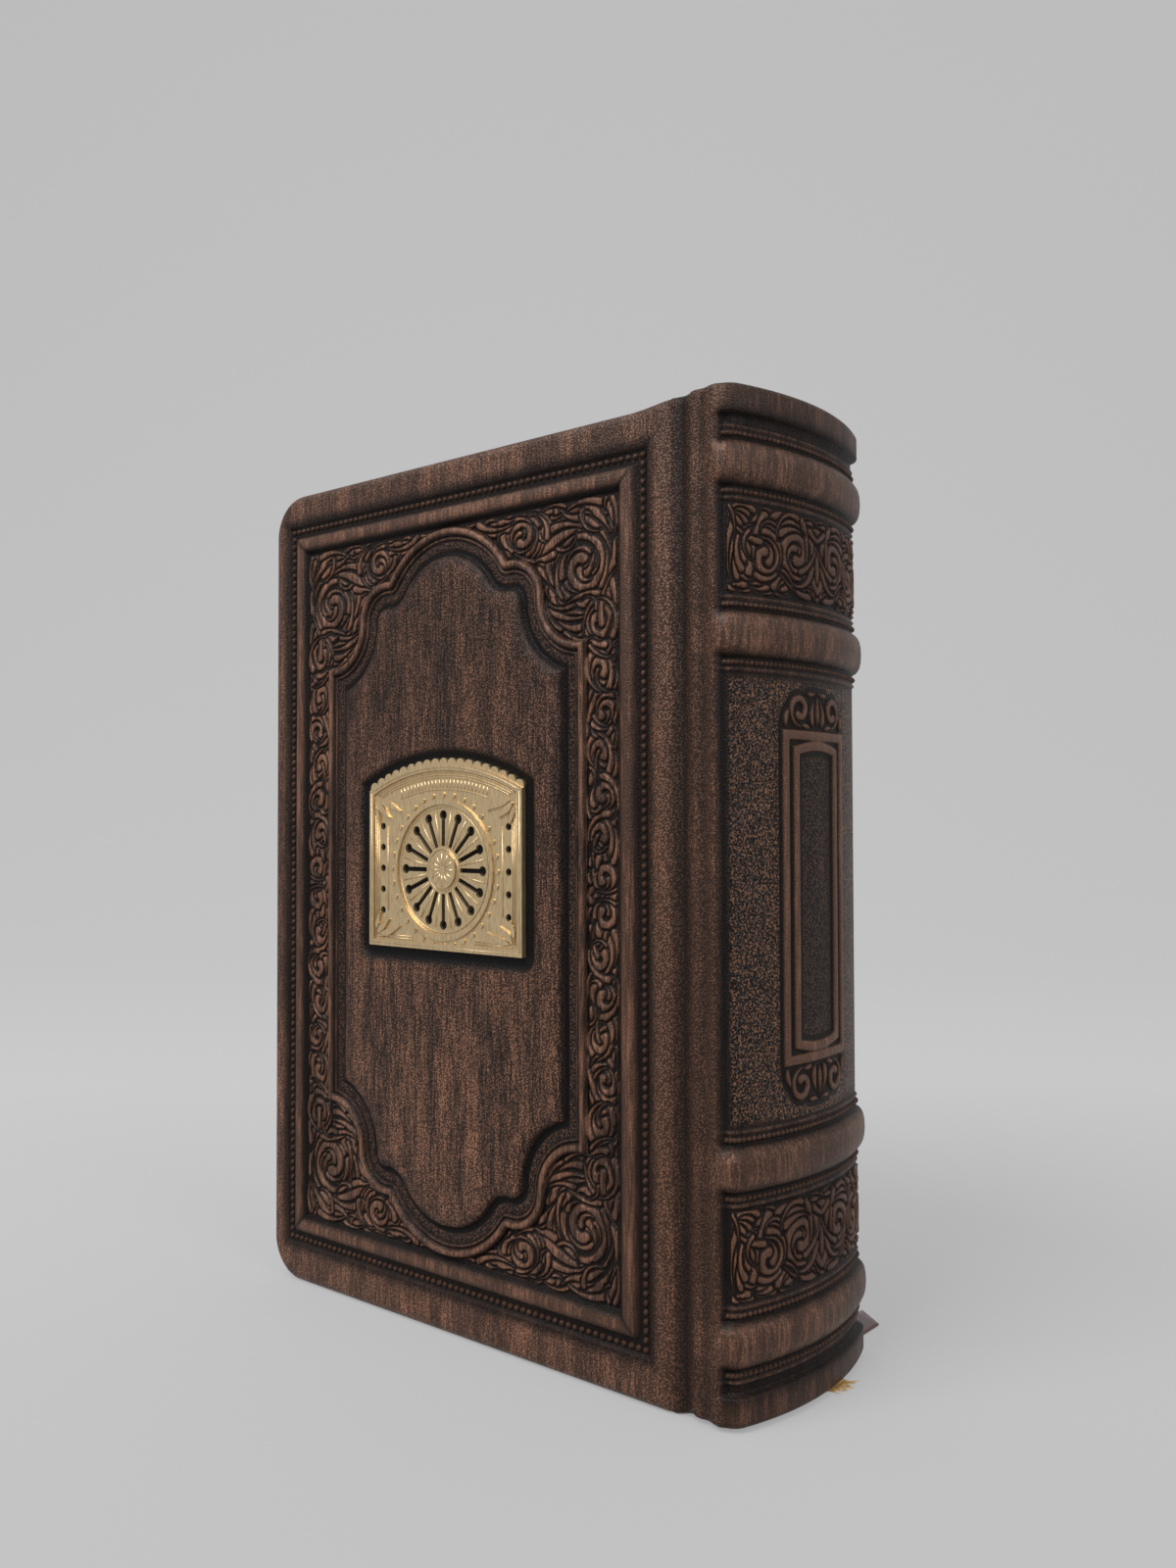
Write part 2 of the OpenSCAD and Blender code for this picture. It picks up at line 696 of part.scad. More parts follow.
module sweep_side() {
    translate([spine_side_x, 0, 0]) rotate([90, 0, 90]) linear_extrude(corner_x + lap - spine_side_x)
        polygon([for (p = skin_section(2 * tuck)) [-half_t - p[0], p[1]]]);
}

// Leather between the groove and the spine's side: a rounded ridge, a shallow valley, a shoulder
module spine_joint() {
    x0 = groove_x + joint_gap / 2;
    translate([0, 0, tail_gap]) linear_extrude(book_h - tail_gap) union() {
        translate([x0, -groove_out]) square([spine_side_x - x0, leather_t]);
        intersection() {
            translate([ridge_x, -ridge_y]) circle(ridge_r);
            translate([x0, -half_t]) square([spine_side_x - x0, half_t - groove_in]);
        }
        for (i = [0, 1]) translate([spine_side_x - step_ws[i], -half_t + step_ds[i]])
            square([step_ws[i] + eps, half_t - step_ds[i] - groove_in]);
    }
}

// A shape in y and z, raised by h over the spine's panels
module on_spine(h) {
    r = spine_r - panel_d;
    intersection() {
        translate([spine_cx, 0, 0]) difference() {
            cylinder(h = book_h, r = r + h);
            translate([0, 0, -1]) cylinder(h = book_h + 2, r = r - lap);
        }
        translate([corner_x, 0, 0]) rotate([90, 0, 90]) linear_extrude(spine_r) children();
    }
}

// One half of the leaf work in an outer panel of the spine, and the leaf in its middle
function panel_leaves() = [
    volute(6.3, 0.5, 4.7, 1.2, 215, 430, 0.94), volute(14.2, -1.3, 3.6, 1.1, 80, 370, 0.85),
    leaf(0.9, -6.6, 66, 4, -30, 0.7), leaf(10.9, -6.5, 150, 4.6, 20, 0.7),
    leaf(11.6, 2.6, 60, 4.6, -70, 0.76), leaf(3.4, 6.2, 176, 3, 10, 0.6),
    leaf(17.2, 3.2, 100, 3.6, 30, 0.6), leaf(17.3, -5.8, 175, 3.6, -20, 0.6)
];

module spine_leaves() {
    for (z = [band_zs[0] + band_zs[1], band_zs[2] + band_zs[3]]) on_spine(scroll_h) {
        line_shapes(panel_leaves(), [for (s = [-1, 1]) [s, panel_stretch]], [0, z / 2]);
        line_shapes([leaf(0, -4.8, 90, 9, 3, 0.82)], [[1, panel_stretch]], [0, z / 2]);
    }
}

// Closed line of the label's frame: straight sides, ends that bulge by b in the middle
function label_line(d, b) = let(w = label_w / 2 - d, h = label_h / 2 - d, n = 8) [
    for (s = [1, -1]) for (i = [0 : n])
        [s * w * (1 - 2 * i / n), label_z + s * (h + b * sin(180 * i / n))]
];

module label_ring(d, b) {
    difference() {
        polygon(label_line(d, b));
        polygon(label_line(d + label_rail, b));
    }
}

// One half of the crest over the label, drawn from the middle of the frame's end
function crest_leaves() = [volute(5.5, 3.4, 2.8, 1, -95, 400, 0.73), leaf(1.4, 0.6, 62, 5, 70, 0.7)];

module spine_label() {
    on_spine(label_rise) {
        label_ring(0, 0);
        label_ring(label_rail + label_gap, label_bulge);
        for (s = [-1, 1]) {
            line_shapes(crest_leaves(), [[1, s], [-1, s]], [0, label_z + s * label_h / 2]);
            line_shapes([leaf(0, 1, 90, 5.6, 3, 0.7)], [[1, s]], [0, label_z + s * label_h / 2]);
        }
    }
}

module spine_leather() {
    color(leather_colour) {
        sweep_curve(concat(spine_outer(), spine_inner()), curve_a);
        spine_leaves();
        spine_label();
        for (side = [0, 1]) mirror([0, side, 0]) {
            sweep_corner();
            sweep_side();
            spine_joint();
        }
    }
}

module spine_stiffener() {
    color(card_colour) sweep_curve([
        [-card_in, tail_gap + leather_t], [-skin_in, tail_gap + leather_t],
        [-skin_in, book_h - leather_t], [-card_in, book_h - leather_t]
    ], curve_a - 1);
}

module raised_band(i) {
    color(card_colour) sweep_curve(core_over(band_zs[i]), curve_a - 1);
}

module raised_band_1() { raised_band(0); }
module raised_band_2() { raised_band(1); }
module raised_band_3() { raised_band(2); }
module raised_band_4() { raised_band(3); }

// Outline of the pages: round back, hollow fore-edge and a shoulder under each joint
module page_outline() {
    union() {
        difference() {
            translate([page_fore_x, -block_half]) square([spine_cx - page_fore_x, 2 * block_half]);
            translate([page_hollow_x, 0]) circle(block_r);
        }
        intersection() {
            translate([spine_cx, 0]) circle(block_r);
            translate([spine_cx - lap, -block_half]) square([book_w, 2 * block_half]);
        }
        polygon([
            [groove_x + 1, lap - block_half], [back_corner_x - 0.4, -block_half - shoulder_d],
            [back_corner_x - 0.1, lap - block_half], [back_corner_x - 0.1, block_half - lap],
            [back_corner_x - 0.4, block_half + shoulder_d], [groove_x + 1, block_half - lap]
        ]);
    }
}

module text_block() {
    color(paper_colour) difference() {
        translate([0, 0, page_z0]) linear_extrude(page_h) page_outline();
        translate([maroon_x, maroon_y, mid_z]) cube([ribbon_w + 0.4, ribbon_slot, book_h], center = true);
        translate([gold_x, gold_y, mid_z]) cube([ribbon_w + 0.4, ribbon_slot, book_h], center = true);
    }
}

module back_layer(r0, t) {
    translate([spine_cx, 0, page_z0]) rotate([0, 0, -back_a]) rotate_extrude(angle = 2 * back_a)
        translate([r0, 0]) square([t, page_h]);
}

module mull() { color(cloth_colour) back_layer(block_r, mull_t); }
module spine_lining() { color(card_colour) back_layer(mull_r, lining_t); }

// Sewn endband: a round bead over the edge of the back, on a short skirt
module endband() {
    translate([spine_cx, 0, page_z1]) rotate([0, 0, 1 - back_a]) rotate_extrude(angle = 2 * back_a - 2)
        translate([block_r - endband_t / 2, 0]) intersection() {
            union() {
                translate([0, endband_h - endband_t / 2]) circle(endband_t / 2, $fn = 32);
                translate([-endband_t / 2, 0]) square([endband_t, endband_h - endband_t / 2]);
            }
            translate([-endband_t, 0]) square([2 * endband_t, endband_h]);
        }
}

module headband() { color(maroon_colour) endband(); }
module tailband() {
    color(maroon_colour) translate([0, 0, page_z0 + page_z1]) mirror([0, 0, 1]) endband();
}

// Centre line of a ribbon: down between the pages, round onto the table and out to its end
function drop_path(lie) = let(r = ribbon_bend, z0 = ribbon_lift + ribbon_t / 2) concat(
    [[0, page_z1], [0, z0 + r]],
    [for (a = [30 : 30 : 90]) [r * (1 - cos(a)), z0 + r * (1 - sin(a))]],
    [[lie, z0]]
);

// Flat strip whose section follows a path of [along, z] points
module strip(path) {
    n = len(path);
    function heading(i) = let(a = path[max(i - 1, 0)], b = path[min(i + 1, n - 1)], d = b - a) d / norm(d);
    side = [for (i = [0 : n - 1]) let(h = heading(i)) [-h[1], h[0]] * ribbon_t / 2];
    rotate([90, 0, 90]) translate([0, 0, -ribbon_w / 2]) linear_extrude(ribbon_w)
        polygon(concat([for (i = [0 : n - 1]) path[i] + side[i]],
            [for (i = [n - 1 : -1 : 0]) path[i] - side[i]]));
}

module ribbon_maroon() {
    lie = maroon_end - maroon_y;
    w = ribbon_w / 2;
    color(maroon_colour) translate([maroon_x, maroon_y, 0]) difference() {
        strip(drop_path(lie));
        translate([0, 0, -1]) linear_extrude(3) polygon([
            [-w - 1, lie + maroon_slant / ribbon_w], [w + 1, lie - maroon_slant * (1 + 1 / ribbon_w)],
            [w + 1, lie + 2], [-w - 1, lie + 2]
        ]);
    }
}

// The gold ribbon turns on the table and its end shows past the curve of the spine
module ribbon_gold() {
    turn_r = ribbon_w / 2 + 1;
    end_y = gold_y + gold_lie + turn_r - ribbon_w / 2;
    color(gold_colour) {
        translate([gold_x, gold_y, 0]) strip(drop_path(gold_lie));
        translate([gold_x + turn_r, gold_y + gold_lie, ribbon_lift]) rotate([0, 0, 90])
            rotate_extrude(angle = 90) translate([turn_r - ribbon_w / 2, 0]) square([ribbon_w, ribbon_t]);
        translate([gold_x + turn_r, end_y, ribbon_lift])
            cube([gold_end - gold_x - turn_r, ribbon_w, ribbon_t]);
    }
}

front_board();
front_leather();
front_panel_pad();
front_infill();
front_pastedown();
front_plate();
back_board();
back_leather();
back_panel_pad();
back_infill();
back_pastedown();
spine_leather();
spine_stiffener();
raised_band_1();
raised_band_2();
raised_band_3();
raised_band_4();
text_block();
mull();
spine_lining();
headband();
tailband();
front_flyleaf();
back_flyleaf();
ribbon_maroon();
ribbon_gold();
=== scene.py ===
import math

import bpy
import numpy as np
from mathutils import Matrix, Vector


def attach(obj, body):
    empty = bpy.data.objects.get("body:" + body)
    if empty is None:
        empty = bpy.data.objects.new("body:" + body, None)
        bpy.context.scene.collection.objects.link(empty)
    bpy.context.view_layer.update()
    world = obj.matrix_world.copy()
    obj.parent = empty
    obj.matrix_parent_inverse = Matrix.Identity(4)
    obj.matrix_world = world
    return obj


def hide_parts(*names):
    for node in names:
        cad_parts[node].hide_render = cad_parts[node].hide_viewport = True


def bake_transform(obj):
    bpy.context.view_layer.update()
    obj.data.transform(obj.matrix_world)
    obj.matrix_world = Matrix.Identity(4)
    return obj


bl_info = {
    "name": "Antique leather book",
    "version": (1, 0, 0),
    "blender": (4, 5, 0),
    "location": "View3D > Sidebar > Book",
    "description": "Embossed leather, metal plate, page block and ribbons of a bound book",
    "category": "Object",
}

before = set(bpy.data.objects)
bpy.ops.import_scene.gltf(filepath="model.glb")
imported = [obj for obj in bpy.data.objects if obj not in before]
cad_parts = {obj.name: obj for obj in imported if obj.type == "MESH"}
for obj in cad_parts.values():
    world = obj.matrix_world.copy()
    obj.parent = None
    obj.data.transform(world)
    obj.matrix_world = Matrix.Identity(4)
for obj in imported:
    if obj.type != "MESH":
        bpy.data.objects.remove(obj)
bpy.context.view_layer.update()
MM = 0.001


# Sizes and looks that a user would change

def length_prop(name, description, default):
    return bpy.props.FloatProperty(
        name=name, description=description, default=default, min=0, precision=5, unit="LENGTH",
        subtype="DISTANCE")


def colour_prop(name, description, default):
    return bpy.props.FloatVectorProperty(
        name=name, description=description, default=default, size=3, min=0, max=1, subtype="COLOR")


class BookSizes(bpy.types.PropertyGroup):
    """Sizes of the binding, as on the drawing"""
    width: length_prop("Width", "Fore-edge to the top of the spine's curve", 0.1245)
    height: length_prop("Height", "Tail to head over the spine", 0.1705)
    head_rise: length_prop("Head rise", "How far the spine stands above the covers", 0.0013)
    thickness: length_prop("Thickness", "Cover face to cover face", 0.045)
    corner: length_prop("Corner", "Radius of the covers' corners", 0.0085)
    bead_pitch: length_prop("Bead pitch", "Distance from bead to bead on the covers", 0.00156)
    emboss_grid: length_prop("Emboss grid", "Mesh size of the embossed leather", 0.00025)


class LeatherLook(bpy.types.PropertyGroup):
    """Colours of the antiqued leather and the plate"""
    rubbed: colour_prop("Rubbed", "Colour of the raised, rubbed leather", (0.302, 0.132, 0.069))
    stain: colour_prop("Stain", "Colour of the dark stain between the streaks", (0.036, 0.016, 0.010))
    recess: colour_prop("Recess", "Colour of the blackened recesses", (0.0045, 0.0040, 0.0040))
    speck: colour_prop("Speck", "Colour of the specks on stippled grounds", (0.26, 0.128, 0.072))
    brass: colour_prop("Plate", "Colour of the metal plate", (0.68, 0.51, 0.29))


class StageLook(bpy.types.PropertyGroup):
    """Floor and light of the studio"""
    floor: colour_prop("Floor", "Colour of the seamless floor", (0.17, 0.17, 0.171))
    # Painted light: the sheet glows by itself, which brightens the floor and backdrop and lights the
    # book softly from below
    glow: bpy.props.FloatProperty(
        name="Glow", description="Light that the seamless sheet lets through", default=0.39, min=0)
    key_power: bpy.props.FloatProperty(
        name="Key light", description="Power of the large soft box", default=9.0, min=0, unit="POWER")


# The drawing's values, in mm
COVER_EDGE_R = 2.0
GROOVE_D = 2.2
PANEL_D = 1.7
TAIL_GAP = 0.6
BOARD_THICK = 4.2
TURN_IN_R = 1.0
TURN_IN_SHOWN = 5.0
BEAD_W, BEAD_H, ORN_X, ORN_Z = 95.7, 152.0, -8.2, 85.25
MOULD_0, MOULD_W = 1.4, 4.0
FRAME_W = MOULD_0 + MOULD_W
TROUGH_HALF = 1.3
GROUND = 0.8
CART_W, CART_H, ARCH_R, SHOULDER_R, HOLLOW_R, SHOULDER_U = 35.2, 70.2, 19.5, 8.0, 8.5, 17.3
SHOULDER_V = CART_H - 16.5
PANEL_INSET, PANEL_RISE = 5.3, 0.8
PLATE_W, PLATE_H, PLATE_RISE, PLATE_Z, PLATE_RECESS = 42.0, 31.0, 5.0, 89.0, 2.2
PLATE_FACE, PLATE_STEP, BOSS_R, ROSETTE_R = 0.56, 0.44, 3.6, 12.2
SPINE_R, SPINE_CORNER_R = 56.0, 4.2
BAND_W = 7.8
BANDS = (13.7, 41.9, 129.2, 157.4)
BAND_CLEAR = BAND_W / 2 + 2.7
CAP_H = 5.4
GROOVE_INSET = 14.85
JOINT_FROM, JOINT_TO = 45.3, 49.7
SCROLL_H, LABEL_LIFT, LEAF_W, LEAF_GAP = 0.5, 0.4, 0.85, 0.32
LABEL_W, LABEL_H, LABEL_RAIL, LABEL_GAP, LABEL_BULGE = 20.6, 56.6, 1.8, 1.0, 1.1
LABEL_Z = (BANDS[1] + BANDS[2]) / 2
LABEL_FROM, LABEL_TO, LABEL_REACH = 48.6, 122.4, 11.8
RIBBON_W, RIBBON_T, RIBBON_TOP, RIBBON_BEND = 6.0, 0.35, 166.2, 2.0
RIBBON_Z = 0.05 + RIBBON_T / 2
MAROON_X, MAROON_Y, MAROON_TIP = 50.6, 10.5, 38.9
GOLD_X, GOLD_Y, GOLD_TIP, GOLD_TURN_Y, GOLD_TURN_R = 42.0, -4.0, 60.6, 1.0, 4.0

# Profiles of the embossing: distances in mm, then heights in mm over the face
MOULDING = ([0, 0.25, 0.7, 1.3, 2.1, 2.8, 3.3, 3.75, 4.0],
            [-0.8, -0.1, 0.28, 0.46, 0.5, 0.40, 0.05, -0.62, -0.8])
PANEL_EDGE = ([0, 0.12, 0.35, 0.7, 1.2, 2.0, 3.2],
              [-GROUND, -0.42, 0.02, 0.32, 0.52, 0.70, PANEL_RISE])
BAND_RISE = ([0, 1.4, 2.4, 3.1, 3.6, 3.9], [0.0, -0.08, -0.30, -0.62, -1.05, -PANEL_D])

# How rubbed the leather is: distances in mm, then shares from 0, blackened, to 1, bare brown
MOULDING_WEAR = ([0, 0.3, 0.9, 1.6, 2.4, 2.9, 3.3, 4.0],
                 [0.08, 0.28, 0.66, 0.80, 0.74, 0.38, 0.06, 0.0])
RING_WEAR = ([0, 0.2, 0.5, 1.1, 1.4, 1.6, 1.9, 2.15, 2.4, 2.6, 2.8, 4.2, 4.4, 5.35, 5.6, 6.1, 7.4],
             [0.2, 0.65, 1.0, 0.95, 0.35, 0, 0.05, 0.75, 0.05, 0, 0.42, 0.42, 0, 0, 0.30, 0.62, 0.85])
BAND_WEAR = ([0, 1.5, 2.6, 3.3, 3.7, 3.95, 4.3], [0.66, 0.74, 0.66, 0.32, 0.08, 0.02, 0.06])
CAP_WEAR = ([0, 0.5, 1.4, 3.2, 4.6, 5.4], [0.10, 0.35, 0.45, 0.36, 0.14, 0.06])
# The spine's leaf fields by girth from its middle: darker at the middle, lighter towards the corners
FIELD_TONE = ([0, 6, 14, 22], [0.44, 0.48, 0.62, 0.76])
JOINT_WEAR = ([40.4, 42.0, 45.0, 46.6, 47.5, 48.6, 50.2, 51.9, 53.0, 54.2],
              [1.0, 0.86, 0.74, 0.32, 0.14, 0.36, 0.76, 0.40, 0.60, 0.75])
SPINE_SIDE_WEAR = 0.62
BEAD_WEAR = 0.30

# How even the joint's leather looks: 0 lets the grain glint as it does, 1 hides it
JOINT_CALM = 0.35

# Colours of boards, cards, papers and cloth, by words in their nodes' names
CARD = ("card", (0.50, 0.44, 0.34), (0.44, 0.38, 0.30))
ENDPAPER = ("endpaper", (0.70, 0.62, 0.47), (0.66, 0.58, 0.43))
NODE_STOCKS = {
    "board": ("board", (0.36, 0.31, 0.24), (0.30, 0.26, 0.20)),
    "mull": ("cloth", (0.66, 0.63, 0.55), (0.60, 0.57, 0.49)),
    "pad": CARD, "infill": CARD, "stiffener": CARD, "raised_band": CARD, "lining": CARD,
    "pastedown": ENDPAPER, "flyleaf": ENDPAPER,
}

# The camera as fitted to the photograph, in m and degrees, with its sensor's width in mm
CAMERA_PLACE = (0.17493, -0.19862, 0.09907)
CAMERA_AIM = (-0.64097, 0.76714, 0.02554)
CAMERA_ROLL = -0.15
SENSOR_WIDTH = 36.0
FOCAL_SHARE = 1332.0 / 1600.0

# The floor's sheet in m, turned to the camera, and the point that the lights face
FLOOR_TURN = 39.88
FLOOR_WIDE, FLOOR_LONG, FLOOR_FRONT = 5.0, 4.6, 1.5
SWEEP_FROM, SWEEP_R = 0.55, 0.75
LIGHT_AIM = (0, 0, 0.08)


def size(key):
    """A size of the binding in mm"""
    return round(getattr(bpy.context.scene.book_sizes, key) / MM, 4)


class Outline:
    """Places on the book that follow from the sizes, in mm"""

    def __init__(self):
        self.half_t = size("thickness") / 2
        self.fore_x = -size("width") / 2
        self.height = size("height")
        self.cover_h = self.height - size("head_rise")
        self.groove_x = size("width") / 2 - GROOVE_INSET
        self.board_end = self.groove_x - 0.15 - 0.3 - GROOVE_D
        self.spine_cx = size("width") / 2 - SPINE_R
        self.corner_y = self.half_t - SPINE_CORNER_R
        inner = SPINE_R - SPINE_CORNER_R
        self.corner_x = self.spine_cx + math.sqrt(inner ** 2 - self.corner_y ** 2)
        self.curve_a = math.asin(self.corner_y / inner)
        self.curve_s = SPINE_R * self.curve_a
        self.corner_s = self.curve_s + SPINE_CORNER_R * (math.pi / 2 - self.curve_a)
        self.end_s = self.corner_s + self.corner_x - (JOINT_TO - 0.3)


# Small helpers

def smooth(a, b, x):
    t = np.clip((x - a) / (b - a), 0.0, 1.0)
    return t * t * (3 - 2 * t)


def dome(d, half):
    """Height, 0 to 1, of a rounded ridge at distance d from its middle"""
    return np.sqrt(np.clip(1 - (d / half) ** 2, 0, 1))


def deselect():
    if bpy.context.object and bpy.context.object.mode != "OBJECT":
        bpy.ops.object.mode_set(mode="OBJECT")
    bpy.ops.object.select_all(action="DESELECT")


def make_active(obj):
    deselect()
    obj.select_set(True)
    bpy.context.view_layer.objects.active = obj


def coords(obj):
    co = np.empty(len(obj.data.vertices) * 3)
    obj.data.vertices.foreach_get("co", co)
    return co.reshape(-1, 3)


def set_coords(obj, points_mm):
    obj.data.vertices.foreach_set("co", (points_mm * MM).ravel())
    obj.data.update()


def paint(obj, **layers):
    """Writes values from 0 to 1, one or one per vertex, for the leather's material to read"""
    count = len(obj.data.vertices)
    for name, values in layers.items():
        layer = obj.data.attributes.new(name, "FLOAT", "POINT")
        layer.data.foreach_set("value", np.clip(np.broadcast_to(values, count), 0, 1).astype(np.float32))


def edit_all(obj, *steps):
    """Runs edit operators on the whole mesh"""
    make_active(obj)
    bpy.ops.object.mode_set(mode="EDIT")
    bpy.ops.mesh.select_all(action="SELECT")
    for step in steps:
        step()
    bpy.ops.object.mode_set(mode="OBJECT")


def flip_if(obj, turned):
    if turned:
        edit_all(obj, bpy.ops.mesh.flip_normals)


def turn_outwards(obj):
    edit_all(obj, lambda: bpy.ops.mesh.normals_make_consistent(inside=False))


def mesh_piece(name, verts_mm, faces):
    """A new object from points in mm and faces"""
    mesh = bpy.data.meshes.new(name)
    mesh.from_pydata((np.array(verts_mm) * MM).tolist(), [], faces)
    obj = bpy.data.objects.new(name, mesh)
    bpy.context.scene.collection.objects.link(obj)
    return obj


def grid_sheet(name, us, vs, keep=None):
    """A grid with its lines at us and vs, less the faces whose middle keep() rules out"""
    deselect()
    nx, ny = len(us) - 1, len(vs) - 1
    bpy.ops.mesh.primitive_grid_add(x_subdivisions=nx, y_subdivisions=ny, size=2)
    obj = bpy.context.object
    obj.name = name
    obj.data.name = name
    co = coords(obj)
    ix = np.rint((co[:, 0] + 1) / 2 * nx).astype(int)
    iy = np.rint((co[:, 1] + 1) / 2 * ny).astype(int)
    flat = np.zeros_like(co)
    flat[:, 0], flat[:, 1] = np.asarray(us)[ix], np.asarray(vs)[iy]
    obj.data.vertices.foreach_set("co", flat.ravel())
    if keep is not None:
        middle = np.empty(len(obj.data.polygons) * 3)
        obj.data.update()
        obj.data.polygons.foreach_get("center", middle)
        middle = middle.reshape(-1, 3)
        gone = ~keep(middle[:, 0], middle[:, 1])
        obj.data.polygons.foreach_set("select", gone)
        obj.data.vertices.foreach_set("select", np.zeros(len(obj.data.vertices), bool))
        obj.data.edges.foreach_set("select", np.zeros(len(obj.data.edges), bool))
        bpy.ops.object.mode_set(mode="EDIT")
        bpy.ops.mesh.select_mode(type="FACE")
        bpy.ops.object.mode_set(mode="OBJECT")
        obj.data.polygons.foreach_set("select", gone)
        bpy.ops.object.mode_set(mode="EDIT")
        bpy.ops.mesh.delete(type="FACE")
        bpy.ops.object.mode_set(mode="OBJECT")
    return obj


def lines(*parts):
    """Grid lines: (start, end, step) runs, one after the other"""
    out = []
    for a, b, step in parts:
        n = max(1, int(round((b - a) / step)))
        out += list(np.linspace(a, b, n + 1))
    return np.array(sorted(set(np.round(out, 5))))


def set_material(obj, material):
    obj.data.materials.clear()
    obj.data.materials.append(material)


def give(obj, body, material):
    set_material(obj, material)
    make_active(obj)
    bpy.ops.object.shade_smooth()
    if body:
        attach(obj, body)
    return obj


# Materials

class Nodes:
    """Adds shader nodes with short words"""

    def __init__(self, name):
        self.mat = bpy.data.materials.new(name)
        self.mat.use_nodes = True
        self.tree = self.mat.node_tree
        self.shader = self.tree.nodes["Principled BSDF"]
        self.coord = self.tree.nodes.new("ShaderNodeTexCoord").outputs["Object"]

    def add(self, kind, inputs=None, **values):
        node = self.tree.nodes.new(kind)
        for key, value in values.items():
            setattr(node, key, value)
        for key, value in (inputs or {}).items():
            if isinstance(value, bpy.types.NodeSocket):
                self.tree.links.new(value, node.inputs[key])
            else:
                node.inputs[key].default_value = value
        return node

    def scaled(self, scale):
        return self.add("ShaderNodeMapping", {"Vector": self.coord, "Scale": scale}).outputs[0]

    def noise(self, size_mm, stretch=(1, 1, 1), detail=3.0, rough=0.5):
        v = self.scaled(tuple(s / (size_mm * MM) for s in stretch))
        return self.add("ShaderNodeTexNoise", {
            "Vector": v, "Scale": 1.0, "Detail": detail, "Roughness": rough}).outputs["Fac"]

    def cells(self, size_mm):
        v = self.scaled((1 / (size_mm * MM),) * 3)
        return self.add("ShaderNodeTexVoronoi", {"Vector": v, "Scale": 1.0},
                        feature="F1").outputs["Distance"]

    def ramp(self, value, low, high, to_low=0.0, to_high=1.0):
        return self.add("ShaderNodeMapRange", {
            "Value": value, "From Min": low, "From Max": high, "To Min": to_low,
            "To Max": to_high}).outputs["Result"]

    def math(self, kind, a, b):
        return self.add("ShaderNodeMath", {0: a, 1: b}, operation=kind).outputs[0]

    def both(self, a, share_a, b, share_b):
        """The sum of two values, each times its share"""
        return self.math("ADD", self.math("MULTIPLY", a, share_a), self.math("MULTIPLY", b, share_b))

    def mix(self, factor, a, b):
        return self.add("ShaderNodeMix", {0: factor, 6: a, 7: b}, data_type="RGBA").outputs[2]

    def attribute(self, name):
        return self.add("ShaderNodeAttribute", attribute_name=name).outputs["Fac"]

    def bump(self, height, strength, distance_mm, normal=None):
        inputs = {"Height": height, "Strength": strength, "Distance": distance_mm * MM}
        if normal is not None:
            inputs["Normal"] = normal
        return self.add("ShaderNodeBump", inputs).outputs["Normal"]

    def link(self, value, socket):
        self.tree.links.new(value, self.shader.inputs[socket])

    def fixed(self, value, socket):
        self.shader.inputs[socket].default_value = value


def rgba(colour):
    return (colour[0], colour[1], colour[2], 1.0)


def leather_material():
    """Grained leather, brown where it is rubbed, black in its recesses"""
    if "grained_leather" in bpy.data.materials:
        return bpy.data.materials["grained_leather"]
    look = bpy.context.scene.leather_look
    n = Nodes("grained_leather")
    # This layer holds the leather's wear and, on the covers, painted light: a lighter lower panel and a
    # darker head margin
    wear = n.attribute("wear")
    stipple = n.attribute("stipple")
    plain = n.attribute("plain")
    calm = n.attribute("calm")
    top = n.ramp(n.attribute("sink"), 0.55, 0.31)
    wear = n.math("MULTIPLY", wear, n.ramp(top, 0, 1, 0.05, 1.0))
    fine = n.noise(0.38, (1, 1, 0.07), 4, 0.66)
    broad = n.noise(3.6, (1, 1, 0.14), 3, 0.6)
    streak = n.ramp(n.both(fine, 0.6, broad, 0.4), 0.40, 0.60)
    streak = n.math("MAXIMUM", streak, n.math("MULTIPLY", plain, 0.62))
    tops = n.ramp(n.cells(0.36), 0.62, 0.15)
    mottle = n.noise(0.22, (1, 1, 1), 2, 0.55)
    glint = n.ramp(n.both(tops, 0.4, mottle, 0.6), 0.40, 0.60)
    glint = n.add("ShaderNodeMix", {0: calm, 2: glint, 3: 0.42}, data_type="FLOAT").outputs[0]
    tone = n.math("MULTIPLY", wear, n.math("ADD", n.math("MULTIPLY", streak, 0.66), 0.34))
    tone = n.math("MULTIPLY", tone, n.ramp(glint, 0, 1, 0.08, 1.58))
    brown = n.mix(n.ramp(streak, 0, 1, 0.25, 1.0), rgba(look.stain), rgba(look.rubbed))
    colour = n.mix(tone, rgba(look.recess), brown)
    speckle = n.ramp(n.noise(0.36, (1, 1, 1), 2, 0.6), 0.51, 0.58)
    specks = n.mix(n.math("MULTIPLY", speckle, wear), rgba(look.recess), rgba(look.speck))
    n.link(n.mix(stipple, colour, specks), "Base Color")
    n.link(n.ramp(tone, 0, 1, 0.42, 0.33), "Roughness")
    n.link(n.ramp(tone, 0, 0.7, 0.10, 0.42), "Specular IOR Level")
    small = n.bump(n.math("ADD", tops, n.math("MULTIPLY", mottle, 0.5)), 0.6, 0.12)
    pits = n.bump(n.math("MULTIPLY", speckle, stipple), 0.8, 0.16, small)
    cut = n.bump(top, 0.6, 0.18, pits)
    n.link(n.bump(fine, 0.20, 0.06, cut), "Normal")
    return n.mat


def stock_material(name, colour, second):
    """A plain board, card, paper or cloth with a second colour clouded in"""
    name = name + "_stock"
    if name in bpy.data.materials:
        return bpy.data.materials[name]
    n = Nodes(name)
    cloud = n.noise(1.6, (1, 1, 1), 3, 0.55)
    n.link(n.mix(n.ramp(cloud, 0.3, 0.7), rgba(colour), rgba(second)), "Base Color")
    n.fixed(0.85, "Roughness")
    n.link(n.bump(cloud, 0.6, 0.05), "Normal")
    return n.mat


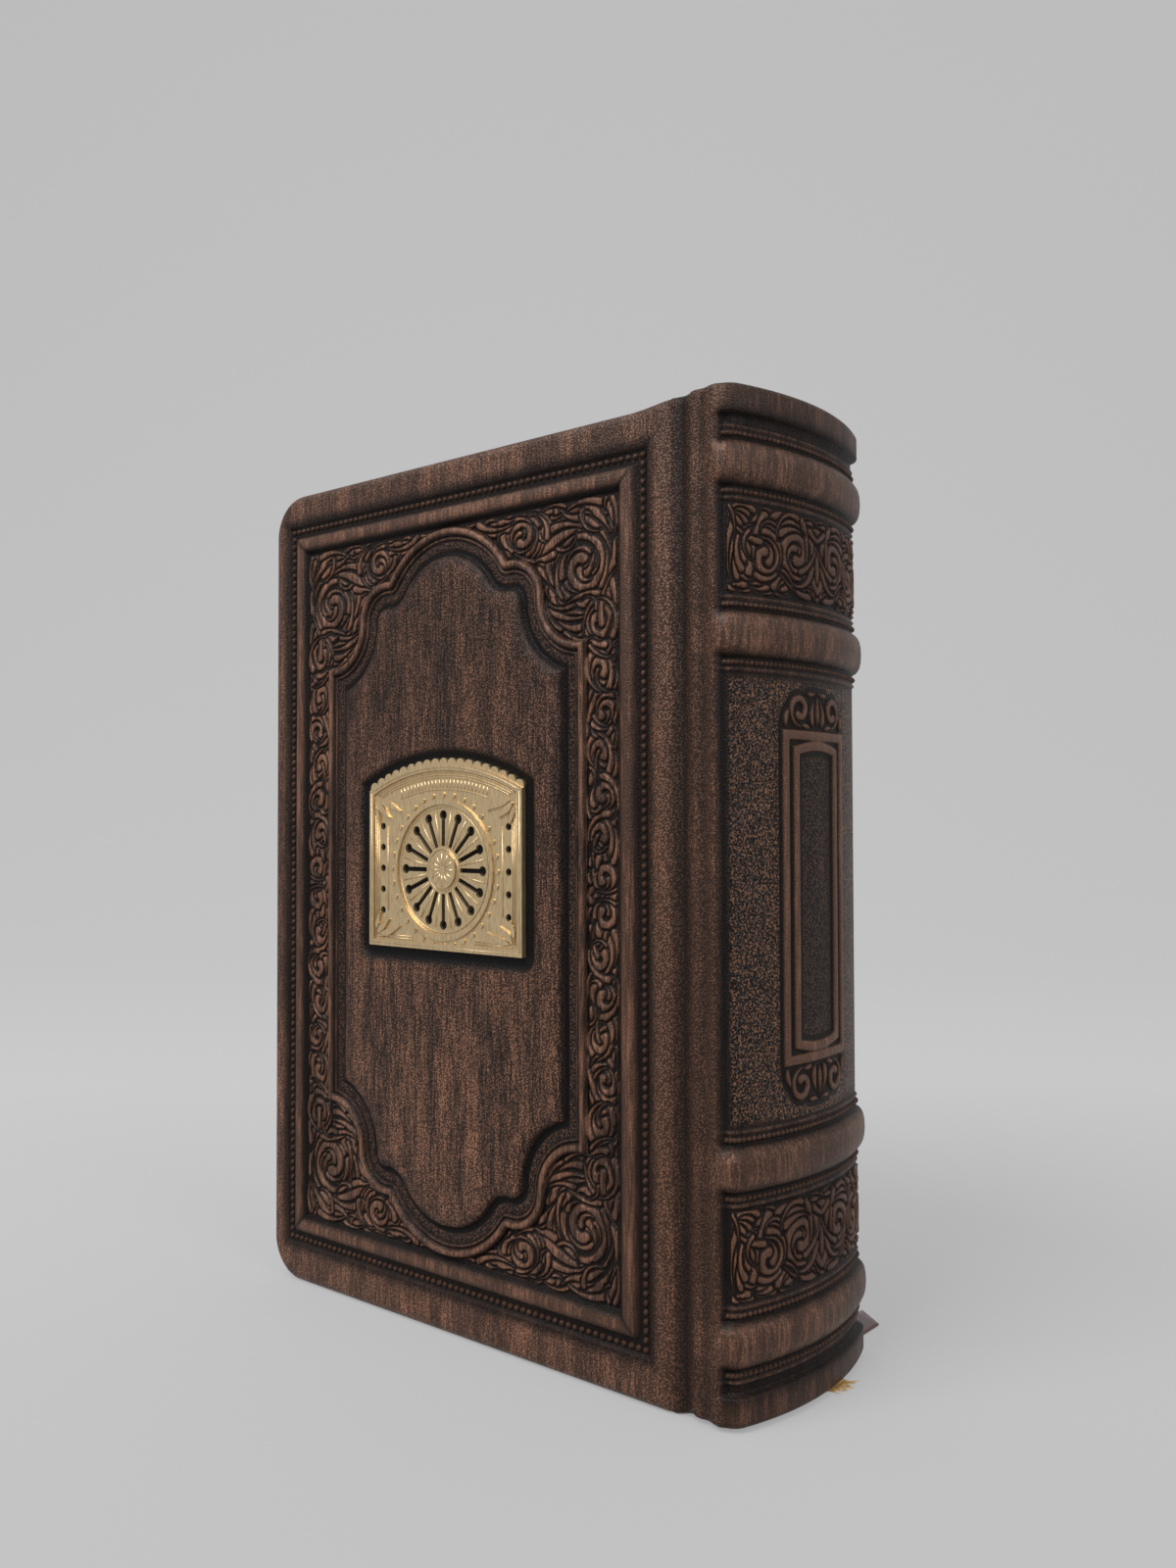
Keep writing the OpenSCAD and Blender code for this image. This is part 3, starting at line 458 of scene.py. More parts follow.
def brass_material():
    if "plate_metal" in bpy.data.materials:
        return bpy.data.materials["plate_metal"]
    n = Nodes("plate_metal")
    brass = bpy.context.scene.leather_look.brass
    dull = tuple(c * 0.70 for c in brass)
    brushed = n.noise(0.35, (1, 1, 0.15), 3, 0.6)
    n.link(n.mix(n.ramp(brushed, 0.35, 0.65), rgba(dull), rgba(brass)), "Base Color")
    n.fixed(0.85, "Metallic")
    n.fixed(0.36, "Roughness")
    n.link(n.bump(brushed, 0.3, 0.05), "Normal")
    return n.mat


# Embossed ornament

def leaf(x, y, heading, length, turn, width, steps=14):
    """A curved leaf from its root, as points along its middle in mm with their half widths"""
    t = np.linspace(0, 1, steps + 1)
    r = length / math.radians(turn)
    a = np.radians(heading + turn * t)
    h = math.radians(heading)
    half = width * LEAF_W * (0.12 + 0.88 * np.sin(np.pi * (1 - t) ** 1.6))
    return np.column_stack([x + r * (np.sin(a) - math.sin(h)), y - r * (np.cos(a) - math.cos(h)), half])


def volute(x, y, r0, r1, start, turn, width):
    """A stem that winds in to a round head"""
    steps = max(12, int(abs(turn) / 9))
    t = np.linspace(0, 1, steps + 1)
    r = r0 + (r1 - r0) * t
    a = np.radians(start + turn * t)
    bud = np.exp(-((t - 0.97) / 0.05) ** 2)
    half = width * LEAF_W * (0.25 + 0.75 * np.minimum(1, t / 0.35) + 0.25 * bud)
    return np.column_stack([x + r * np.cos(a), y + r * np.sin(a), half])


class Emboss:
    """A raster over a field that holds the distance inwards from the edge of a leaf, in mm"""

    def __init__(self, u0, u1, v0, v1):
        self.u0, self.v0, self.pitch = u0, v0, 0.1
        self.nu, self.nv = int((u1 - u0) / self.pitch) + 2, int((v1 - v0) / self.pitch) + 2
        self.u = u0 + self.pitch * np.arange(self.nu)
        self.v = v0 + self.pitch * np.arange(self.nv)
        self.edge = np.full((self.nu, self.nv), -2.0)
        self.clear = None

    def window(self, lo, hi):
        a = np.clip(((np.array(lo) - (self.u0, self.v0)) / self.pitch).astype(int), 0, None)
        b = ((np.array(hi) - (self.u0, self.v0)) / self.pitch).astype(int) + 2
        return slice(a[0], min(b[0], self.nu)), slice(a[1], min(b[1], self.nv))

    def stroke(self, path):
        """Draws a leaf over the others and cuts a narrow gap round it"""
        pad = 3.0
        su, sv = self.window(path[:, :2].min(0) - pad, path[:, :2].max(0) + pad)
        if su.stop <= su.start or sv.stop <= sv.start:
            return
        uu, vv = self.u[su][:, None], self.v[sv][None, :]
        inner = np.full((su.stop - su.start, sv.stop - sv.start), -9.0)
        for p, q in zip(path[:-1], path[1:]):
            e = q[:2] - p[:2]
            du, dv = uu - p[0], vv - p[1]
            k = np.clip((du * e[0] + dv * e[1]) / max(e @ e, 1e-9), 0, 1)
            inner = np.maximum(inner, p[2] + (q[2] - p[2]) * k - np.hypot(du - k * e[0], dv - k * e[1]))
        self.edge[su, sv] = np.maximum(inner, np.minimum(self.edge[su, sv], -inner - LEAF_GAP))
        if self.clear is not None:
            self.clear[su, sv] = np.minimum(self.clear[su, sv], -inner)

    def sample(self, grid, u, v):
        fu = np.clip((u - self.u0) / self.pitch, 0, self.nu - 1.001)
        fv = np.clip((v - self.v0) / self.pitch, 0, self.nv - 1.001)
        iu, iv = fu.astype(int), fv.astype(int)
        ku, kv = fu - iu, fv - iv
        return ((grid[iu, iv] * (1 - ku) + grid[iu + 1, iv] * ku) * (1 - kv)
                + (grid[iu, iv + 1] * (1 - ku) + grid[iu + 1, iv + 1] * ku) * kv)

    def fill(self, rng, smallest):
        """Fills the free ground with curved leaves, the widest free spot first"""
        for _ in range(700):
            best = np.unravel_index(np.argmax(self.clear), self.clear.shape)
            room = self.clear[best]
            if room < smallest:
                break
            at = (self.u[best[0]], self.v[best[1]])
            width = min(room - LEAF_GAP * 0.7, 0.72)
            choice, score = None, -9.0
            for heading in range(0, 360, 20):
                heading += rng.uniform(-8, 8)
                for turn in (-130, -60, 60, 130):
                    for length in (12.0 * width + 1.6, 8.0 * width + 1.0, 5.0 * width + 0.6):
                        path = leaf(at[0], at[1], heading, length, turn, 1.0, 8)
                        path[:, 2] = width * np.clip(1.04 - np.linspace(0, 1, 9), 0.1, 1)
                        room_along = self.sample(self.clear, path[2:, 0], path[2:, 1]) - path[2:, 2]
                        s = np.min(room_along) * 2.2 + length * 0.16
                        if s > score:
                            choice, score = path, s
            self.stroke(choice)
            self.clear[best] = min(self.clear[best], 0)


def leaf_height(edge, top=SCROLL_H):
    """Height of a leaf over its ground: steep sides and a nearly flat top"""
    e = np.clip((edge + 0.06) / 0.42, 0, 1)
    return top * (1 - (1 - e) ** 2.4) + 0.10 * np.clip(edge / 0.9, 0, 1)


def sink_of(edge):
    """0 on a leaf's top, one half at its edge, 1 on the ground"""
    return np.clip(0.5 - edge, 0, 1)


def cartouche_line():
    """Points of the cartouche's outline round the whole figure, from its middle, in mm"""
    def arc(c, r, a0, a1, n):
        a = np.radians(np.linspace(a0, a1, n + 1))
        return np.column_stack([c[0] + r * np.cos(a), c[1] + r * np.sin(a)])
    ac, sc = np.array([0, CART_H - ARCH_R]), np.array([SHOULDER_U, SHOULDER_V])
    hc = np.array([SHOULDER_U + SHOULDER_R + HOLLOW_R, SHOULDER_V])
    d = np.linalg.norm(sc - ac)
    e = (sc - ac) / d
    a = (ARCH_R ** 2 - SHOULDER_R ** 2 + d * d) / (2 * d)
    p = ac + a * e + math.sqrt(ARCH_R ** 2 - a * a) * np.array([-e[1], e[0]])
    end_a = math.degrees(math.atan2(*(p - ac)[::-1]))
    start_s = math.degrees(math.atan2(*(p - sc)[::-1]))
    q = np.vstack([arc(ac, ARCH_R, 90, end_a, 24), arc(sc, SHOULDER_R, start_s, 0, 20)[1:],
                   arc(hc, HOLLOW_R, 180, 270, 20)[1:], [[CART_W, SHOULDER_V - HOLLOW_R]]])
    back = q[::-1]
    return np.vstack([q, back * (1, -1), (q * (-1, -1))[1:], (back * (-1, 1))[:-1]])


def cartouche_depth(u, v, line=cartouche_line()):
    """Distance inwards from the cartouche's outline, below 0 outside"""
    au, av = np.abs(u), np.abs(v)
    best = np.full(np.shape(au), 1e9)
    inside = np.zeros(np.shape(au), bool)
    for p, q in zip(line, np.roll(line, -1, axis=0)):
        near = max(p[0], q[0]) > -12 and max(p[1], q[1]) > -12
        if near:
            e = q - p
            k = np.clip(((au - p[0]) * e[0] + (av - p[1]) * e[1]) / max(e @ e, 1e-12), 0, 1)
            best = np.minimum(best, np.hypot(au - p[0] - k * e[0], av - p[1] - k * e[1]))
        if p[1] != q[1]:
            hit = (av > min(p[1], q[1])) & (av <= max(p[1], q[1]))
            inside ^= hit & (au < p[0] + (av - p[1]) / (q[1] - p[1]) * (q[0] - p[0]))
    return np.where(inside, best, -best)


# The leaf work of the drawing: leaves and volutes from the moulding's inner corner, of one half
# of a spine panel from its middle, and of one half of the label's crest from the frame's end
CORNER = (
    volute, (-8, -12.3, 6.6, 1.5, 188, -470, 1), volute, (-22.6, -5, 2.9, 1.1, 200, -330, 0.88),
    volute, (-4.4, -22.6, 3.2, 1.2, 100, -340, 0.88), leaf, (-18.4, -9.6, 46, 13.5, -58, 1.1),
    leaf, (-7.9, -1.3, -18, 8.6, -50, 1), leaf, (-14.6, -1.3, 178, 4, 20, 0.7),
    leaf, (-24.9, -1.5, 180, 8, 4, 0.7), leaf, (-17.6, -5.9, 88, 3.4, -40, 0.6),
    leaf, (-18.9, -10.9, -42, 4.6, -20, 0.73), leaf, (-15.9, -15.2, -72, 6, 34, 0.94),
    leaf, (-12.2, -20.5, 8, 5.2, -25, 0.82), leaf, (-1.1, -20, 120, 5.2, -30, 0.7),
    leaf, (-15.2, -3.1, -4, 6.6, -16, 0.7))
PANEL = (
    volute, (6.3, 0.5, 4.7, 1.2, 215, 430, 0.94), volute, (14.2, -1.3, 3.6, 1.1, 80, 370, 0.85),
    leaf, (0.9, -6.6, 66, 4, -30, 0.7), leaf, (10.9, -6.5, 150, 4.6, 20, 0.7),
    leaf, (11.6, 2.6, 60, 4.6, -70, 0.76), leaf, (3.4, 6.2, 176, 3, 10, 0.6),
    leaf, (17.2, 3.2, 100, 3.6, 30, 0.6), leaf, (17.3, -5.8, 175, 3.6, -20, 0.6),
    leaf, (0, -4.8, 90, 9, 3, 0.82))
CREST = (
    volute, (5.5, 3.4, 2.8, 1, -95, 400, 0.73), leaf, (1.4, 0.6, 62, 5, 70, 0.7),
    leaf, (0, 1, 90, 5.6, 3, 0.7))
CREST_FILL = (
    leaf, (9.4, 0.4, 80, 4.4, 70, 0.62), leaf, (3.2, 6.4, 200, 3.0, -50, 0.5),
    leaf, (2.6, 0.4, 20, 3.2, -30, 0.55))


def drawn(shapes):
    return [kind(*values) for kind, values in zip(shapes[::2], shapes[1::2])]


def cover_scrolls():
    """Leaf work of one quarter of the border field; the other quarters mirror it"""
    limit_u, limit_v = BEAD_W / 2 - FRAME_W, BEAD_H / 2 - FRAME_W
    e = Emboss(0, limit_u + 0.5, 0, limit_v + 0.5)
    uu, vv = np.meshgrid(e.u, e.v, indexing="ij")
    e.clear = np.minimum.reduce([-cartouche_depth(uu, vv), limit_u - uu, limit_v - vv]) - 0.2
    paths = drawn(CORNER)
    for path in paths:
        path[:, :2] += (limit_u, limit_v)
    w = limit_u - CART_W
    for k in range(int((SHOULDER_V - HOLLOW_R) / w)):
        s, x, y = 1 if k % 2 == 0 else -1, limit_u - w / 2, w * (k + 0.46)
        paths.append(volute(x + s * 0.07 * w, y, 0.338 * w, 0.138 * w, -90, s * 320, 0.85))
        paths.append(leaf(x - s * 0.366 * w, y + 0.166 * w, 90, 0.52 * w, -s * 12, 0.65))
    for path in paths:
        e.stroke(path)
    e.fill(np.random.default_rng(11), 0.46)
    return e


def ring_height(depth):
    """Height of the cartouche's lines, pebbled band and padded panel at a depth inside it"""
    raised = np.maximum.reduce([
        1.25 * dome(depth - 0.78, 0.82) ** 0.7, 0.62 * dome(depth - 2.15, 0.42),
        0.22 * smooth(2.6, 2.8, depth) * smooth(4.3, 4.1, depth)])
    return np.where(depth > PANEL_INSET, np.interp(depth - PANEL_INSET, *PANEL_EDGE), raised - GROUND)


def cover_relief(u, v, scrolls, has_plate):
    """Height, wear with painted light, stipple, sink and calm of a cover at (u, v) from the ornament's
    middle
    """
    from_side, from_end = BEAD_W / 2 - np.abs(u), BEAD_H / 2 - np.abs(v)
    rect = np.minimum(from_side, from_end)
    depth = cartouche_depth(u, v)
    margin = rect < -TROUGH_HALF
    trough = ~margin & (rect < MOULD_0)
    moulding = ~margin & ~trough & (rect - MOULD_0 < MOULD_W)
    inner = ~(margin | trough | moulding)
    leafy, ring = inner & (depth < 0), inner & (depth >= 0)
    zones = [margin, trough, moulding, leafy]
    mitre = np.abs(from_side - from_end)
    edge = scrolls.sample(scrolls.edge, np.abs(u), np.abs(v))
    trough_side = np.where(rect > 1.0, 0, 0.6 * (smooth(0.75, 1.3, -rect) + smooth(0.9, 1.4, rect)))
    h = np.select(zones, [
        -0.18 * smooth(-3.0, -TROUGH_HALF, rect),
        -GROUND + trough_side,
        np.interp(rect - MOULD_0, *MOULDING) - 0.12 * (1 - smooth(0.0, 0.5, mitre)),
        -GROUND + leaf_height(edge)], ring_height(depth))
    # Painted light on the padded panel: darker towards the top, lighter towards the bottom, where light
    # bounced off the floor falls
    painted_panel_light = np.where(depth > PANEL_INSET, 0.56 + 0.62 * smooth(60, -50, v), 1)
    wear = np.select(zones, [
        0.10 + 0.78 * smooth(1.3, 3.6, -rect),
        0.05 + 0.1 * smooth(0.8, 1.3, -rect),
        np.interp(rect - MOULD_0, *MOULDING_WEAR) * (0.35 + 0.65 * smooth(0.1, 0.9, mitre)),
        np.full_like(u, 0.98)], np.interp(depth, *RING_WEAR) * painted_panel_light)
    stipple = ring * smooth(2.65, 2.8, depth) * smooth(4.3, 4.15, depth)
    sink = np.where(leafy, sink_of(edge), 0)
    calm = np.where(leafy | ~margin & (depth < 2.6), 0.85, 0.45)
    calm = np.where(ring & (depth > PANEL_INSET), 0.25, calm)
    if has_plate:
        dist = plate_distance(u, v + ORN_Z - PLATE_Z)
        sunk = smooth(PLATE_RECESS + 0.9, PLATE_RECESS - 0.5, dist)
        h = h * (1 - sunk) + (PANEL_RISE - 0.9) * sunk
        wear = wear * (1 - smooth(PLATE_RECESS + 1.6, PLATE_RECESS - 0.1, dist))
    return h, wear, stipple, sink, calm


def plate_distance(u, v):
    """Distance outwards from the plate's outline, below 0 on the plate"""
    r = ((PLATE_W / 2) ** 2 + PLATE_RISE ** 2) / (2 * PLATE_RISE)
    box_u, box_v = np.abs(u) - PLATE_W / 2, -v - PLATE_H / 2
    top = np.hypot(u, v - (PLATE_H / 2 + PLATE_RISE - r)) - r
    inside = np.maximum.reduce([box_u, box_v, np.where(v > 0, top, -9)])
    out = np.hypot(np.maximum(box_u, 0), np.maximum(box_v, 0))
    return np.where(inside < 0, inside, np.maximum(out, inside))


# Covers

def wrap_cover(x, z, h, o):
    """Rolls the flat skin round the board's edges; gives x, depth below the face, z, way rolled"""
    rc = size("corner") - COVER_EDGE_R
    qx = np.maximum(x, o.fore_x + COVER_EDGE_R + rc)
    qz = np.clip(z, COVER_EDGE_R + rc, o.cover_h - COVER_EDGE_R - rc)
    vx, vz = x - qx, z - qz
    far = np.hypot(vx, vz)
    over = np.maximum(far - rc, 0)
    safe = np.maximum(far, 1e-9)
    nx, nz = vx / safe, vz / safe
    e, t = COVER_EDGE_R, TURN_IN_R
    q1, q2 = e * math.pi / 2, e * math.pi / 2 + BOARD_THICK - e - t
    q3 = q2 + t * math.pi / 2
    a1, a3 = np.minimum(over, q1) / e, np.clip((over - q2) / t, 0, math.pi / 2)
    out = e * np.sin(a1) - t * (1 - np.cos(a3)) - np.maximum(over - q3, 0)
    depth = e * (1 - np.cos(a1)) + np.clip(over - q1, 0, q2 - q1) + t * np.sin(a3)
    keep = np.minimum(far, rc)
    return qx + nx * (keep + out), depth - h, qz + nz * (keep + out), over


def softened(xs, ys, soft):
    """A smooth curve near the points (xs, ys), rounded over a length"""
    step = 0.05
    x = np.arange(30.0, 60.0, step)
    k = np.exp(-0.5 * (np.arange(-4 * soft, 4 * soft + 0.01, step) / soft) ** 2)
    pad = len(k) // 2
    y = np.convolve(np.pad(np.interp(x, xs, ys), pad, mode="edge"), k / k.sum(), mode="valid")
    return x, y[:len(x)]


JOINT = softened([43.6, 44.6, 46.2, 47.4, 48.6, 50.2, 51.8, 53.4, 54.6],
                 [0.0, 0.10, 1.05, 1.60, 1.05, 0.60, 0.95, 0.30, 0.0], 0.42)


def joint_drop(x):
    """Depth of the leather below the cover's face from the board's edge to the spine's side"""
    return np.interp(x, *JOINT)


def head_line(x, o):
    """Height of the leather's head edge, which climbs from the covers to the spine"""
    return o.cover_h + (o.height - o.cover_h) * smooth(36.0, 51.5, x)


def tail_line(x):
    return TAIL_GAP * smooth(45.5, 49.5, x)


def end_round(z, low, high):
    """How far the leather turns down towards its head and tail edges"""
    r = 1.5
    end = np.clip(np.minimum(z - low, high - z) / r, 0, 1)
    return -r * 0.75 * (1 - np.sqrt(np.clip(1 - (1 - end) ** 2, 0, 1)))


def joint_wear(x):
    """How rubbed the joint's leather is, less in its two valleys"""
    return np.interp(x, *JOINT_WEAR)


def cover_skin(side, o, scrolls):
    name = "front" if side < 0 else "back"
    e = COVER_EDGE_R
    round_edge = e * math.pi / 2 + (BOARD_THICK - e - TURN_IN_R) + TURN_IN_R * math.pi / 2
    reach = round_edge + TURN_IN_SHOWN
    x_in, z_in = o.fore_x + e, e
    z_top = o.cover_h - e
    left, right = ORN_X - BEAD_W / 2, ORN_X + BEAD_W / 2
    low, high = ORN_Z - BEAD_H / 2, ORN_Z + BEAD_H / 2
    rc = size("corner") - e

    def ornate(start, end):
        """Fine lines at the beads and the moulding, coarse ones under the patches between them"""
        a, b = start + 6.2, end - 6.2
        return (start - 1.8, a, 0.27), (a, b, 2.2), (b, end + 1.8, 0.27)

    xs = lines((x_in - reach, x_in - 6.0, 0.9), (x_in - 6.0, x_in, 0.4), (x_in, left - 1.8, 0.6),
               *ornate(left, right), (right + 1.8, o.board_end, 0.7),
               (o.board_end, JOINT_FROM + 0.3, 0.3))
    zs = lines((z_in - reach, z_in - 6.0, 0.9), (z_in - 6.0, z_in, 0.4), (z_in, low - 1.8, 0.7),
               *ornate(low, high), (high + 1.8, z_top, 0.7), (z_top, z_top + 6.0, 0.4),
               (z_top + 6.0, z_top + reach, 0.9))

    def keep(x, z):
        qx = np.maximum(x, x_in + rc)
        qz = np.clip(z, z_in + rc, z_top - rc)
        return np.hypot(x - qx, z - qz) - rc < reach

    obj = grid_sheet(name + "_cover_leather", xs, zs, keep)
    co = coords(obj)
    x, z = co[:, 0], co[:, 1]
    h, wear, stipple, _, calm = cover_relief(x - ORN_X, z - ORN_Z, scrolls, False)
    rect = np.minimum(BEAD_W / 2 - np.abs(x - ORN_X), BEAD_H / 2 - np.abs(z - ORN_Z))
    hidden = rect > FRAME_W + 0.15
    h = np.where(hidden, -GROUND - 0.35, h)
    px, depth, pz, over = wrap_cover(x, z, h, o)
    pz = pz + (head_line(x, o) - o.cover_h) * smooth(z_top - 8, z_top, z)
    depth = depth + joint_drop(x)
    rubbed_edge = 0.12 * smooth(0.3, 1.2, over) * smooth(2.2, 1.2, over)
    wear = wear * (1 - 0.35 * smooth(0.5, 3.2, over)) + rubbed_edge
    # Painted shade: the head margin above the bead row is made up to 16% darker, against the light from
    # above
    wear = wear * joint_wear(x) * (1 - 0.16 * smooth(high, high + 3, z))
    set_coords(obj, np.column_stack([px, side * (o.half_t - depth), pz]))
    by_joint = smooth(40.5, 42.0, x)
    plain = np.maximum(by_joint, np.where(rect < FRAME_W, 0.5, 0))
    paint(obj, wear=wear, stipple=stipple, plain=plain, calm=calm + (JOINT_CALM - calm) * by_joint)
    flip_if(obj, side > 0)
    return obj


def cover_patch(name, side, o, scrolls, grid, depths, reach):
    """Part of the embossed skin inside the moulding, between two depths inside the cartouche"""
    us, vs = [np.linspace(-r, r, int(2 * r / grid) + 1) for r in reach]

    def keep(u, v):
        depth = cartouche_depth(u, v)
        return (depth > depths[0]) & (depth < depths[1])

    obj = grid_sheet(name, us, vs, keep)
    co = coords(obj)
    u, v = co[:, 0], co[:, 1]
    h, wear, stipple, sink, calm = cover_relief(u, v, scrolls, side < 0)
    if name.endswith("_panel"):
        h = h - 0.04 * smooth(8.7, 8.3, cartouche_depth(u, v))
    set_coords(obj, np.column_stack([u + ORN_X, side * (o.half_t + h), v + ORN_Z]))
    paint(obj, sink=sink, wear=wear, stipple=stipple, calm=calm)
    flip_if(obj, side > 0)
    return obj


class BOOK_OT_covers(bpy.types.Operator):
    """Embossed leather over both boards"""
    bl_idname = "book.covers"
    bl_label = "Cover leather"

    def execute(self, context):
        o = Outline()
        scrolls = cover_scrolls()
        leather = leather_material()
        far = 99
        inside = (BEAD_W / 2 - FRAME_W + 0.2, BEAD_H / 2 - FRAME_W + 0.2)
        for side in (-1, 1):
            name = "front" if side < 0 else "back"
            body = name + "_cover"
            fine = size("emboss_grid") * (1.0 if side < 0 else 1.2) * 1
            skin = cover_skin(side, o, scrolls)
            give(skin, body, leather)
            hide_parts(name + "_leather")
            leafy = fine * 0.72 if side < 0 else fine
            patches = (("leaf_border", leafy, (-far, 0.1), inside),
                       ("cartouche_ring", fine, (-0.2, 8.6), (CART_W + 1, CART_H + 0.4)),
                       ("panel", fine * 2, (8.2, far), (CART_W - 6, CART_H - 6)))
            for part, pitch, depths, reach in patches:
                piece = cover_patch(name + "_" + part, side, o, scrolls, pitch, depths, reach)
                give(piece, body, leather)
        return {"FINISHED"}


def bead_master(radius):
    """A low round bead, its flat side open and sunk into the leather"""
    deselect()
    bpy.ops.mesh.primitive_uv_sphere_add(segments=8, ring_count=6, radius=radius * MM)
    bead = bpy.context.object
    edit_all(bead, lambda: bpy.ops.mesh.bisect(
        plane_co=(0, 0, -0.12 * radius * MM), plane_no=(0, 0, 1), clear_inner=True))
    return bead


def bead_row(name, master, places, leather, body):
    """Copies of a bead at (point, outward direction, direction along, stretch) as one piece"""
    bead = coords(master) / MM
    bead_faces = [tuple(p.vertices) for p in master.data.polygons]
    verts, faces = [], []
    for point, out, along, stretch in places:
        out, along = np.array(out, float), np.array(along, float)
        base = len(verts) * len(bead)
        turned = bead @ np.array([along * stretch, np.cross(out, along), out])
        verts.append(turned + np.array(point))
        faces += [tuple(i + base for i in f) for f in bead_faces]
    beads = mesh_piece(name, np.vstack(verts), faces)
    paint(beads, wear=BEAD_WEAR, plain=1, calm=1)
    give(beads, body, leather)
    turn_outwards(beads)


class BOOK_OT_bead_rows(bpy.types.Operator):
    """Rows of small beads round the covers and beside the spine's bands"""
    bl_idname = "book.bead_rows"
    bl_label = "Bead rows"

    def execute(self, context):
        o = Outline()
        leather = leather_material()
        master = bead_master(0.56)
        for side in (-1, 1):
            name = "front" if side < 0 else "back"
            bead_row(name + "_beads", master, self.cover_places(side, o), leather, name + "_cover")
        small = bead_master(0.46)
        bead_row("spine_beads", small, self.spine_places(o), leather, "text_and_spine")
        for m in (master, small):
            bpy.data.objects.remove(m)
        return {"FINISHED"}

    @staticmethod
    def cover_places(side, o):
        """Places round a cover's border, with a bead on each corner"""
        y, out = side * (o.half_t - GROUND), (0, side, 0)
        across, up = round(BEAD_W / size("bead_pitch")), round(BEAD_H / size("bead_pitch"))
        places = []
        for i in range(across + 1):
            x = ORN_X - BEAD_W / 2 + BEAD_W * i / across
            for z in (ORN_Z - BEAD_H / 2, ORN_Z + BEAD_H / 2):
                places.append(((x, y, z), out, (1, 0, 0), 1.1))
        for i in range(1, up):
            z = ORN_Z - BEAD_H / 2 + BEAD_H * i / up
            for x in (ORN_X - BEAD_W / 2, ORN_X + BEAD_W / 2):
                places.append(((x, y, z), out, (0, 0, 1), 1.1))
        return places

    @staticmethod
    def spine_places(o):
        """Places along each band, each bead set askew as in a rope"""
        reach, pitch, askew = o.corner_s - 1.2, 1.08, (0.88, 0.47)
        count = int(2 * reach / pitch)
        places = []
        for z in band_lines():
            for i in range(count + 1):
                s = -reach + 2 * reach * i / count
                p, n = spine_point(np.array([s]), np.array([z]), np.array([-PANEL_D + 0.12]), o)
                t = np.array([-n[0][1], n[0][0], 0])
                places.append((p[0], n[0], t * askew[0] + np.array([0, 0, askew[1]]), 1.25))
        return places


# Spine

def band_lines():
    """Heights of the bead rows, one below and one above each band"""
    return [z + k * (BAND_W / 2 + 0.85) for z in BANDS for k in (-1, 1)]


def spine_point(s, z, h, o):
    """Point and outward direction on the spine at girth s from its middle, h over the outline"""
    a = np.abs(s)
    sign = np.where(s < 0, -1.0, 1.0)
    ang = np.where(a <= o.curve_s, a / SPINE_R,
                   o.curve_a + np.minimum(a - o.curve_s, o.corner_s - o.curve_s) / SPINE_CORNER_R)
    on_curve = a <= o.curve_s
    r = np.where(on_curve, SPINE_R + h, SPINE_CORNER_R + h)
    cx = np.where(on_curve, o.spine_cx, o.corner_x)
    cy = np.where(on_curve, 0.0, o.corner_y)
    side = np.maximum(a - o.corner_s, 0)
    px = cx + r * np.cos(ang) - side
    py = sign * (cy + r * np.sin(ang))
    normal = np.column_stack([np.cos(ang), sign * np.sin(ang), np.zeros_like(a)])
    return np.column_stack([px, py, z]), normal


def side_x(s, o):
    """Place along X of a girth s beyond the spine's corner"""
    return o.corner_x - (np.abs(s) - o.corner_s)


